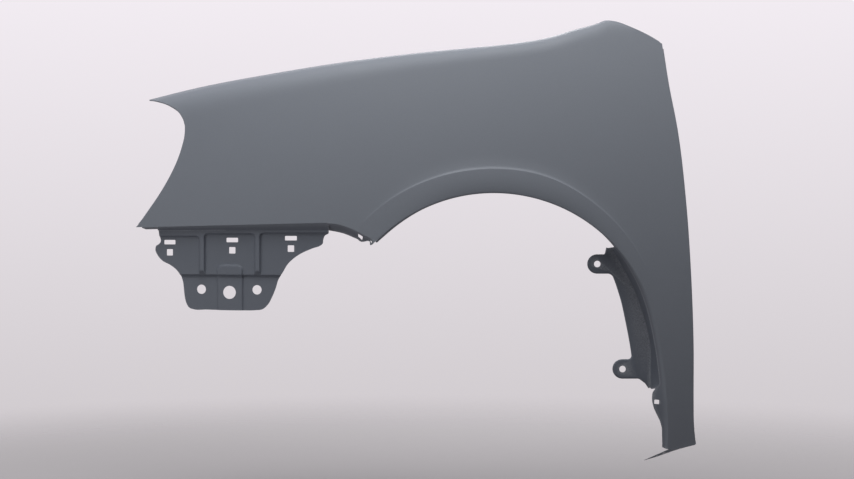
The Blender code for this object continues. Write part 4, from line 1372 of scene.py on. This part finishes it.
def add_node(
    tree: bpy.types.NodeTree, kind: str, settings: dict | None = None, links: dict | None = None,
) -> bpy.types.Node:
    """Add a node with its settings and links.

    Args:
        tree: The material's or the world's nodes.
        kind: The node's type.
        settings: Values by the name of a property, or by the name or number of an input.
        links: Output sockets by the name or number of the input that they feed.

    Returns:
        The node.
    """
    node = tree.nodes.new(kind)
    for name, value in (settings or {}).items():
        if isinstance(name, str) and hasattr(node, name):
            setattr(node, name, value)
        else:
            node.inputs[name].default_value = value
    for name, source in (links or {}).items():
        tree.links.new(source, node.inputs[name])
    return node


def empty_tree(owner: bpy.types.Material | bpy.types.World) -> bpy.types.NodeTree:
    """Return the emptied nodes of a new material or world.

    Args:
        owner: The material or world.

    Returns:
        Its nodes.
    """
    owner.use_nodes = True
    owner.node_tree.nodes.clear()
    return owner.node_tree


def seen_by(tree: bpy.types.NodeTree, rays: tuple[str, ...]) -> bpy.types.NodeSocket:
    """Return a socket that is 1 for the named kinds of ray and 0 for all others.

    Args:
        tree: The material's or the world's nodes.
        rays: The names of the light path's outputs.

    Returns:
        The socket.
    """
    path = add_node(tree, "ShaderNodeLightPath")
    shown = path.outputs[rays[0]]
    for ray in rays[1:]:
        both = add_node(tree, "ShaderNodeMath", {"operation": "MAXIMUM"}, {0: shown, 1: path.outputs[ray]})
        shown = both.outputs[0]
    return shown


def linear(colour: str) -> tuple[float, float, float, float]:
    """Turn an sRGB hex colour into linear values with full opacity.

    Args:
        colour: The colour as #RRGGBB.

    Returns:
        The linear values.
    """
    values = [int(colour[start:start + 2], 16) / 255 for start in (1, 3, 5)]
    lit = [value / 12.92 if value <= 0.04045 else ((value + 0.055) / 1.055) ** 2.4 for value in values]
    return lit[0], lit[1], lit[2], 1.0


@dataclass(frozen=True)
class PrimedSteel:
    """Pressed steel with a baked dip primer: an even satin film, thinner at cut edges, with a darker colour
    on recessed inner surfaces as painted shade.
    """

    name: str
    outer: str
    # The darker colour of surfaces recessed inboard of the skin: painted shade.
    inner: str
    edge: str
    ior: float = 1.5
    specular: float = 0.35
    roughness: float = 0.58
    roughness_spread: tuple[float, float] = (-0.04, 0.05)
    mottle_mm: float = 70.0
    mottle_share: float = 0.015
    # The film's own grain is finer than this, and is drawn coarse enough to show.
    grain_mm: float = 1.6
    grain_share: float = 0.03
    peel_mm: float = 5.0
    peel_height_mm: float = 0.012
    rub_range: tuple[float, float] = (0.35, 0.6)
    rub_shares: tuple[float, float] = (0.15, 0.75)

    @staticmethod
    def noise(
        tree: bpy.types.NodeTree, size_mm: float, detail: float, roughness: float,
    ) -> bpy.types.NodeSocket:
        """Return a noise of a real size.

        Args:
            tree: The material's nodes.
            size_mm: The size of its blotches.
            detail: How many finer layers it has.
            roughness: How strong they are.

        Returns:
            The socket of its values.
        """
        place = add_node(tree, "ShaderNodeTexCoord").outputs["Object"]
        settings = {"Scale": 1000 / size_mm, "Detail": detail, "Roughness": roughness}
        return add_node(tree, "ShaderNodeTexNoise", settings, {"Vector": place}).outputs["Fac"]

    @staticmethod
    def ranged(
        tree: bpy.types.NodeTree, value: bpy.types.NodeSocket, low: float, high: float,
        source: tuple[float, float] = (NOISE_LOW, NOISE_HIGH),
    ) -> bpy.types.NodeSocket:
        """Return the socket of a noise stretched to lie between two values."""
        settings = {"From Min": source[0], "From Max": source[1], "To Min": low, "To Max": high}
        return add_node(tree, "ShaderNodeMapRange", settings, {"Value": value}).outputs["Result"]

    def material(self) -> bpy.types.Material:
        """Return the paint as a material.

        Returns:
            The material.
        """
        made = bpy.data.materials.new(self.name)
        tree = empty_tree(made)
        mottle = self.noise(tree, self.mottle_mm, 3.0, 0.55)
        grain = self.noise(tree, self.grain_mm, 2.0, 0.6)
        peel = self.noise(tree, self.peel_mm, 2.0, 0.5)
        inner, cut = [
            add_node(
                tree, "ShaderNodeAttribute", {"attribute_type": "GEOMETRY", "attribute_name": mask.value},
            ).outputs["Fac"]
            for mask in (Mask.INNER, Mask.EDGE)
        ]
        # Painted shade: recessed surfaces take the darker inner colour instead of the outer one.
        film = add_node(
            tree, "ShaderNodeMix",
            {"data_type": "RGBA", MIX_A: linear(self.outer), MIX_B: linear(self.inner)}, {MIX_FACTOR: inner},
        )
        shade = self.ranged(tree, mottle, 1 - self.mottle_share, 1 + self.mottle_share)
        speck = self.ranged(tree, grain, 1 - self.grain_share, 1 + self.grain_share)
        uneven = add_node(tree, "ShaderNodeMath", {"operation": "MULTIPLY"}, {0: shade, 1: speck})
        toned = add_node(
            tree, "ShaderNodeMix", {"data_type": "RGBA", "blend_type": "MULTIPLY", MIX_FACTOR: 1.0},
            {MIX_A: film.outputs[MIX_RESULT], MIX_B: uneven.outputs[0]},
        )
        rubbed = self.ranged(tree, grain, *self.rub_shares, self.rub_range)
        worn = add_node(
            tree, "ShaderNodeMath", {"operation": "MULTIPLY", "use_clamp": True}, {0: cut, 1: rubbed},
        )
        colour = add_node(
            tree, "ShaderNodeMix", {"data_type": "RGBA", MIX_B: linear(self.edge)},
            {MIX_FACTOR: worn.outputs[0], MIX_A: toned.outputs[MIX_RESULT]},
        )
        low, high = [self.roughness + offset for offset in self.roughness_spread]
        satin = self.ranged(tree, mottle, low, high)
        relief = add_node(
            tree, "ShaderNodeBump", {"Strength": 1.0, "Distance": self.peel_height_mm / 1000},
            {"Height": peel},
        )
        shader = add_node(
            tree, "ShaderNodeBsdfPrincipled",
            {"Metallic": 0.0, "IOR": self.ior, "Specular IOR Level": self.specular},
            {
                "Base Color": colour.outputs[MIX_RESULT], "Roughness": satin,
                "Normal": relief.outputs["Normal"],
            },
        )
        add_node(tree, "ShaderNodeOutputMaterial", links={"Surface": shader.outputs["BSDF"]})
        return made


def finish_piece(
    piece: bpy.types.Object, node: Node, paint: PrimedSteel, inner: Skin | None,
) -> bpy.types.Object:
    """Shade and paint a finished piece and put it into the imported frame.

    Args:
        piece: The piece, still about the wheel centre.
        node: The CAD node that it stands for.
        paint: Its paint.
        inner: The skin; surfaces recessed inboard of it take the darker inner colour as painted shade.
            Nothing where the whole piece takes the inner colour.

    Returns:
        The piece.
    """
    mesh = piece.data
    mesh.shade_smooth()
    mesh.set_sharp_from_angle(angle=SHARP_TURN)
    bm = bmesh.new()
    bm.from_mesh(mesh)
    cut = [0.0] * len(bm.verts)
    for edge in bm.edges:
        if edge.is_manifold and edge.calc_face_angle(0) > CUT_EDGE_TURN:
            for vertex in edge.verts:
                cut[vertex.index] = 1.0
    bm.free()
    # Painted shade: points more than a few millimetres inboard of the skin fade to the darker inner colour;
    # without a skin the whole piece takes it.
    recess_shade = [1.0] * len(cut)
    if inner:
        recess_shade = [
            smooth((vertex.co.y - inner.depth(vertex.co.x, vertex.co.z) - INNER_START) / INNER_RUN)
            for vertex in mesh.vertices
        ]
    for mask, values in ((Mask.INNER, recess_shade), (Mask.EDGE, cut)):
        mesh.attributes.new(mask.value, "FLOAT", "POINT").data.foreach_set("value", values)
    mesh.transform(Matrix.Translation(WHEEL_CENTRE))
    mesh.materials.clear()
    mesh.materials.append(paint.material())
    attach(piece, "root")
    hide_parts(node.value)
    return piece


@dataclass
class FenderPanel:
    """The stamped panel: skin, band, plate and folded edges as one sheet."""

    skin: Skin
    plate: BumperPlate
    flanges: Flanges
    metal: SheetMetal
    punch: Punch
    paint: PrimedSteel
    widest_span: float = 0.006
    grids: dict[str, Grid] = field(default_factory=dict)

    def lay_out(self) -> None:
        """Work out the grids of all the panel's surfaces."""
        skin, plate, arch = self.skin, self.plate, self.skin.arch
        tip = -skin.front_reach
        front = split([tip, tip + self.flanges.front_setback, plate.front - plate.relief], self.widest_span)
        middle = plate.stations()
        crease = arch.crease(0).x
        rear = split([plate.rear + plate.relief, crease], self.widest_span)[:-1]
        columns = skin.grid(front + middle + rear)
        band = skin.band()
        start = len(front) + len(middle) + len(rear)
        corner = start + arch.station(arch.corner_share)
        setback = tip + self.flanges.front_setback - MERGE_DISTANCE
        ahead = [column for column in columns[:len(front)] if column[0].x > setback]
        self.grids = {
            "skin": columns,
            "band": band,
            "lip": self.flanges.lip(band),
            "plate": plate.grid([column[0] for column in columns[len(front):len(front) + len(middle)]]),
            "ahead_of_plate": self.flanges.ahead_of_plate(ahead),
            "under_skirt": self.flanges.under_skirt(columns[len(front) + len(middle):start], band),
            "behind_headlight": self.flanges.behind_headlight(columns),
            "rail": self.flanges.rail([column[-1] for column in columns[:corner]]),
            "pillar": self.flanges.pillar(columns[:corner]),
            "at_door": self.flanges.at_door(columns[corner + 1:]),
            "foot": self.flanges.foot(band[-1][::-1] + columns[-1][1:]),
        }

    def build(self) -> bpy.types.Object:
        """Build, open and paint the panel.

        Returns:
            The piece.
        """
        self.lay_out()
        bm = bmesh.new()
        for columns in self.grids.values():
            add_patch(bm, columns)
        piece = sheet_piece(bm, "painted_fender_panel", self.metal.panel)
        cut_away(piece, "plate_trim", self.plate.trim())
        holes = bmesh.new()
        self.plate.open(holes, self.punch)
        self.flanges.open(holes, self.punch, self.grids)
        cut_away(piece, "panel_holes", holes)
        return finish_piece(piece, Node.PANEL, self.paint, self.skin)


@dataclass
class LinerBracket:
    """The welded bracket for the wheel-arch liner: a flat face with two ears, a wall and a weld flange."""

    arch: WheelArch
    metal: SheetMetal
    punch: Punch
    paint: PrimedSteel
    depth: float = 0.056
    width: float = 0.074
    start_share: float = 0.5555
    end_share: float = 0.874
    ridge_shares: Shares = (
        (0.5555, 0.08), (0.584, 0.137), (0.63, 0.185), (0.7, 0.205), (0.74, 0.184), (0.771, 0.187),
        (0.802, 0.234), (0.8335, 0.302), (0.865, 0.345), (0.874, 0.33),
    )
    stub_shares: Shares = ((0.549, 0.16), (0.558, 0.315))
    upper_ear: tuple[float, float] = (0.5625, 0.636)
    lower_ear: tuple[float, float] = (0.8229, 1.023)
    strip_shares: Shares = (
        (0.6295, 0.546), (0.67, 0.62), (0.714, 0.678), (0.75, 0.702), (0.783, 0.716), (0.7965, 0.723),
    )
    foot_shares: Shares = ((0.8525, 0.63), (0.861, 0.47), (0.872, 0.4))
    ear_radius: float = 0.0192
    ear_hole: float = 0.0064
    ear_neck: float = 0.010
    ear_fillet: float = 0.012
    lower_ear_fillet: float = 0.007
    foot_fillet: float = 0.008
    stub_fillet: float = 0.004
    rim_depth: float = 0.006
    rim_round: float = 0.003
    face_margin: float = 0.0008
    corner_steps: int = 12
    rim_steps: int = 6
    wall_steps: int = 8
    strip_steps: int = 6
    weld_overlap: float = 0.6

    def round_corners(self, points: Column, radii: list[float]) -> Column:
        """Return an outline whose corners are rounded by arcs.

        Args:
            points: The corners in order.
            radii: The radius at each corner, or 0 for a plain one.

        Returns:
            The outline's points.
        """
        result = [points[0]]
        for before, corner, after, radius in zip(points, points[1:], points[2:], radii[1:]):
            if not radius:
                result.append(corner)
                continue
            to_before = (before - corner).normalized()
            to_after = (after - corner).normalized()
            half = to_before.angle(to_after) / 2
            reach = radius / math.tan(half)
            centre = corner + (to_before + to_after).normalized() * radius / math.sin(half)
            start = corner + to_before * reach - centre
            end = corner + to_after * reach - centre
            for step in range(self.corner_steps + 1):
                place = centre + start.slerp(end, step / self.corner_steps) * radius
                if (place - result[-1]).length > MERGE_DISTANCE:
                    result.append(place)
        return result + [points[-1]]

    def ear_centres(self) -> tuple[Vector, Vector]:
        """Return the centres of the upper and the lower ear.

        Returns:
            The two centres, without their depth.
        """
        upper = self.arch.near(self.upper_ear[0], self.upper_ear[1] * self.width)
        lower = self.arch.near(self.lower_ear[0], self.lower_ear[1] * self.width)
        return upper, lower

    def outline(self) -> Column:
        """Return the free edge from the top stub round both ears to the foot.

        Returns:
            The free edge's points.
        """
        upper, lower = self.ear_centres()
        stub, strip, foot = [
            [self.arch.near(share, across * self.width) for share, across in table]
            for table in (self.stub_shares, self.strip_shares, self.foot_shares)
        ]
        strip = Curve(strip, rounded=True, steps=self.strip_steps).points
        ear = self.ear_radius
        points = [stub[0], plan(stub[1].x, upper.z + ear)]
        radii = [0, self.stub_fillet]
        points += [upper + plan(-ear, ear), upper + plan(-ear, -ear), upper + plan(ear + self.ear_neck, -ear)]
        radii += [ear, ear, self.ear_fillet]
        points += strip
        radii += [0] * len(strip)
        points += [plan(strip[-1].x, lower.z + ear), lower + plan(-ear, ear), lower + plan(-ear, -ear)]
        radii += [self.lower_ear_fillet, ear, ear]
        points += [plan(foot[0].x, lower.z - ear)] + foot[1:]
        radii += [self.foot_fillet] * len(foot)
        return self.round_corners(points, radii)

    def rim(self, outline: Column) -> Grid:
        """Return the turned rim along the free edge: a rounded bend, then a run inboard.

        Args:
            outline: The free edge's points.

        Returns:
            The rim's columns.
        """
        columns = []
        for index, point in enumerate(outline):
            along = (outline[min(index + 1, len(outline) - 1)] - outline[max(index - 1, 0)]).normalized()
            inside = plan(-along.z, along.x)
            column = []
            for step in range(self.rim_steps + 1):
                turn = QUARTER_TURN * step / self.rim_steps
                back = self.depth + self.rim_round * (1 - math.cos(turn))
                column.append(point + inside * self.rim_round * (1 - math.sin(turn)) + INBOARD * back)
            columns.append(column + [point + INBOARD * (self.depth + self.rim_depth)])
        return columns

    def wall(self, lip: Grid) -> Grid:
        """Return the wall from the ridge to the lip, and the weld flange under the lip.

        Args:
            lip: The columns of the panel's wheel-arch lip.

        Returns:
            The wall's columns.
        """
        first = self.arch.station(self.arch.lip_start_share)
        shares = self.arch.stations[first:]
        columns = []
        for index in reversed(range(len(shares))):
            share = shares[index]
            if not self.start_share <= share <= self.end_share:
                continue
            fold, end = lip[index][self.metal.fold_steps], lip[index][-1]
            after = lip[min(index + 1, len(lip) - 1)][-1] - lip[index - 1][-1]
            inward = (end - fold).cross(after).normalized()
            if inward.dot(INBOARD) < 0:
                inward.negate()
            lift = inward * (self.metal.panel + self.metal.seat_gap)
            across = read_shares(self.ridge_shares, share) * self.width
            ridge = self.arch.near(share, across) + INBOARD * self.depth
            top = end + lift
            column = [ridge.lerp(top, step / self.wall_steps) for step in range(self.wall_steps)]
            columns.append(column + [top, end.lerp(fold, self.weld_overlap) + lift])
        return columns

    def build(self, lip: Grid) -> bpy.types.Object:
        """Build, open and paint the bracket.

        Args:
            lip: The columns of the panel's wheel-arch lip, which the bracket is welded to.

        Returns:
            The piece.
        """
        rim = self.rim(self.outline())
        wall = self.wall(lip)
        bm = bmesh.new()
        corners = [column[0] for column in rim] + [column[0] for column in wall]
        face = bm.faces.new([bm.verts.new(place) for place in corners])
        bmesh.ops.inset_individual(bm, faces=[face], thickness=self.face_margin, use_even_offset=True)
        add_patch(bm, wall)
        add_patch(bm, rim)
        piece = sheet_piece(bm, "painted_liner_bracket", self.metal.bracket)
        holes = bmesh.new()
        for ear in self.ear_centres():
            self.punch.drill(holes, upright(ear + INBOARD * self.depth), self.ear_hole)
        cut_away(piece, "bracket_holes", holes)
        return finish_piece(piece, Node.BRACKET, self.paint, None)


@dataclass
class Studio:
    """The plain stage: a pale floor that fades out, soft lamps, a pale background and the camera."""

    view_width: float = 1.648
    view_distance: float = 3.0
    sensor_width: float = 36.0
    camera_place: tuple[float, float, float] = (0.1221, -3.1531, -0.3349)
    floor_drop: float = 0.11
    floor_radius: float = 2.6
    floor_fade_start: float = 0.7
    floor_fade_share: float = 0.95
    floor_sides: int = 96
    floor_colour: str = "#B4B0B3"
    floor_return: str = "#8A8688"
    high_colour: str = "#F3EDF3"
    low_colour: str = "#CAC5C8"
    horizon_blend: float = 0.16
    ambient: float = 0.14
    lamps: tuple[tuple[str, tuple[float, float, float], float, float], ...] = (
        ("key_lamp", (-0.15, -0.75, 2.2), 2.6, 73.0),
        ("side_lamp", (-1.9, -1.4, -0.55), 1.4, 12.0),
        ("back_lamp", (0.5, 2.2, 1.4), 1.8, 30.0),
    )

    def camera(self) -> None:
        """Set up the camera at the photograph's angle."""
        data = bpy.data.cameras.new("camera")
        data.sensor_width = self.sensor_width
        data.lens = data.sensor_width * self.view_distance / self.view_width
        camera = add_object("camera", data)
        camera.location = self.camera_place
        camera.rotation_euler = (QUARTER_TURN, 0, 0)
        bpy.context.scene.camera = camera

    def light(self, centre: Vector) -> None:
        """Place the soft lamps round a centre.

        Args:
            centre: The fender's middle.
        """
        for name, offset, size, power in self.lamps:
            data = bpy.data.lights.new(name, "AREA")
            data.shape = "DISK"
            data.size = size
            data.energy = power
            lamp = add_object(name, data)
            lamp.location = centre + Vector(offset)
            lamp.rotation_euler = (-Vector(offset)).to_track_quat("-Z", "Y").to_euler()

    def background(self) -> None:
        """Light the fender from all round, and show a pale background."""
        world = bpy.data.worlds.new("pale_room")
        tree = empty_tree(world)
        direction = add_node(tree, "ShaderNodeTexCoord").outputs["Generated"]
        height = add_node(tree, "ShaderNodeSeparateXYZ", links={"Vector": direction})
        share = add_node(
            tree, "ShaderNodeMapRange", {"From Min": -self.horizon_blend, "From Max": self.horizon_blend},
            {"Value": height.outputs["Z"]},
        )
        pale = add_node(
            tree, "ShaderNodeMix",
            {"data_type": "RGBA", MIX_A: linear(self.low_colour), MIX_B: linear(self.high_colour)},
            {MIX_FACTOR: share.outputs["Result"]},
        )
        bright = seen_by(tree, ("Is Camera Ray", "Is Transmission Ray", "Is Glossy Ray"))
        room = add_node(tree, "ShaderNodeBackground", {"Color": (1, 1, 1, 1), "Strength": self.ambient})
        shown = add_node(
            tree, "ShaderNodeBackground", {"Strength": 1.0}, {"Color": pale.outputs[MIX_RESULT]},
        )
        mixed = add_node(
            tree, "ShaderNodeMixShader", links={0: bright, 1: room.outputs[0], 2: shown.outputs[0]},
        )
        add_node(tree, "ShaderNodeOutputWorld", links={"Surface": mixed.outputs[0]})
        bpy.context.scene.world = world

    def floor_finish(self, middle: Vector) -> bpy.types.Material:
        """Return the floor's matt finish, which fades out away from its middle.

        Args:
            middle: The floor's middle.

        Returns:
            The finish.
        """
        made = bpy.data.materials.new("pale_floor")
        tree = empty_tree(made)
        spot = add_node(tree, "ShaderNodeTexCoord").outputs["Object"]
        away = add_node(tree, "ShaderNodeVectorMath", {"operation": "DISTANCE", 1: middle}, {0: spot})
        end = self.floor_radius * self.floor_fade_share
        fade = add_node(
            tree, "ShaderNodeMapRange",
            {"interpolation_type": "SMOOTHSTEP", "From Min": self.floor_fade_start, "From Max": end},
            {"Value": away.outputs["Value"]},
        )
        tone = add_node(
            tree, "ShaderNodeMix",
            {"data_type": "RGBA", MIX_A: linear(self.floor_return), MIX_B: linear(self.floor_colour)},
            {MIX_FACTOR: seen_by(tree, ("Is Camera Ray", "Is Glossy Ray"))},
        )
        matt = add_node(tree, "ShaderNodeBsdfDiffuse", links={"Color": tone.outputs[MIX_RESULT]})
        clear = add_node(tree, "ShaderNodeBsdfTransparent")
        mixed = add_node(
            tree, "ShaderNodeMixShader",
            links={0: fade.outputs["Result"], 1: matt.outputs[0], 2: clear.outputs[0]},
        )
        add_node(tree, "ShaderNodeOutputMaterial", links={"Surface": mixed.outputs[0]})
        return made

    def floor(self, centre: Vector, lowest: float) -> None:
        """Lay the pale floor below the fender.

        Args:
            centre: The fender's middle.
            lowest: The height of the fender's lowest point.
        """
        bm = bmesh.new()
        place = Matrix.Translation(Vector((centre.x, centre.y, lowest - self.floor_drop)))
        bmesh.ops.create_circle(bm, cap_ends=True, segments=self.floor_sides, radius=self.floor_radius)
        bmesh.ops.transform(bm, matrix=place, verts=bm.verts)
        floor = add_mesh("floor", bm)
        floor.data.materials.append(self.floor_finish(place.translation))
        floor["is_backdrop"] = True

    def build(self) -> None:
        """Set up the whole stage round the fender."""
        low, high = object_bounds()
        centre = (low + high) / 2
        bpy.context.scene.view_settings.view_transform = "Standard"
        self.camera()
        self.light(centre)
        self.background()
        self.floor(centre, low.z)


def main() -> None:
    """Build the fender's pieces and its stage in order."""
    logging.basicConfig(level=logging.INFO, format="%(name)s: %(message)s")
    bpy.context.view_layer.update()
    metal = SheetMetal()
    punch = Punch()
    arch = WheelArch()
    skin = Skin(arch)
    plate = BumperPlate(skin, metal)
    flanges = Flanges(skin, plate, metal)
    # The panel's inner colour is darker than its outer one to paint the shade of its recessed plate and
    # flanges.
    primer = PrimedSteel("dip_primed_panel_recess_shade", outer="#6E737B", inner="#5D626B", edge="#8D9096")
    # The bracket's colour is darkened to paint the shade it sits in, deep behind the wheel-arch edge.
    shade = PrimedSteel("dip_primed_bracket_painted_shade", outer="#565B64", inner="#565B64", edge="#8D9096")
    panel = FenderPanel(skin, plate, flanges, metal, punch, primer)
    pieces = [panel.build()]
    pieces.append(LinerBracket(arch, metal, punch, shade).build(panel.grids["lip"]))
    for piece in pieces:
        LOG.info("%s has %d faces", piece.name, len(piece.data.polygons))
    Studio().build()


if __name__ == "__main__":
    main()
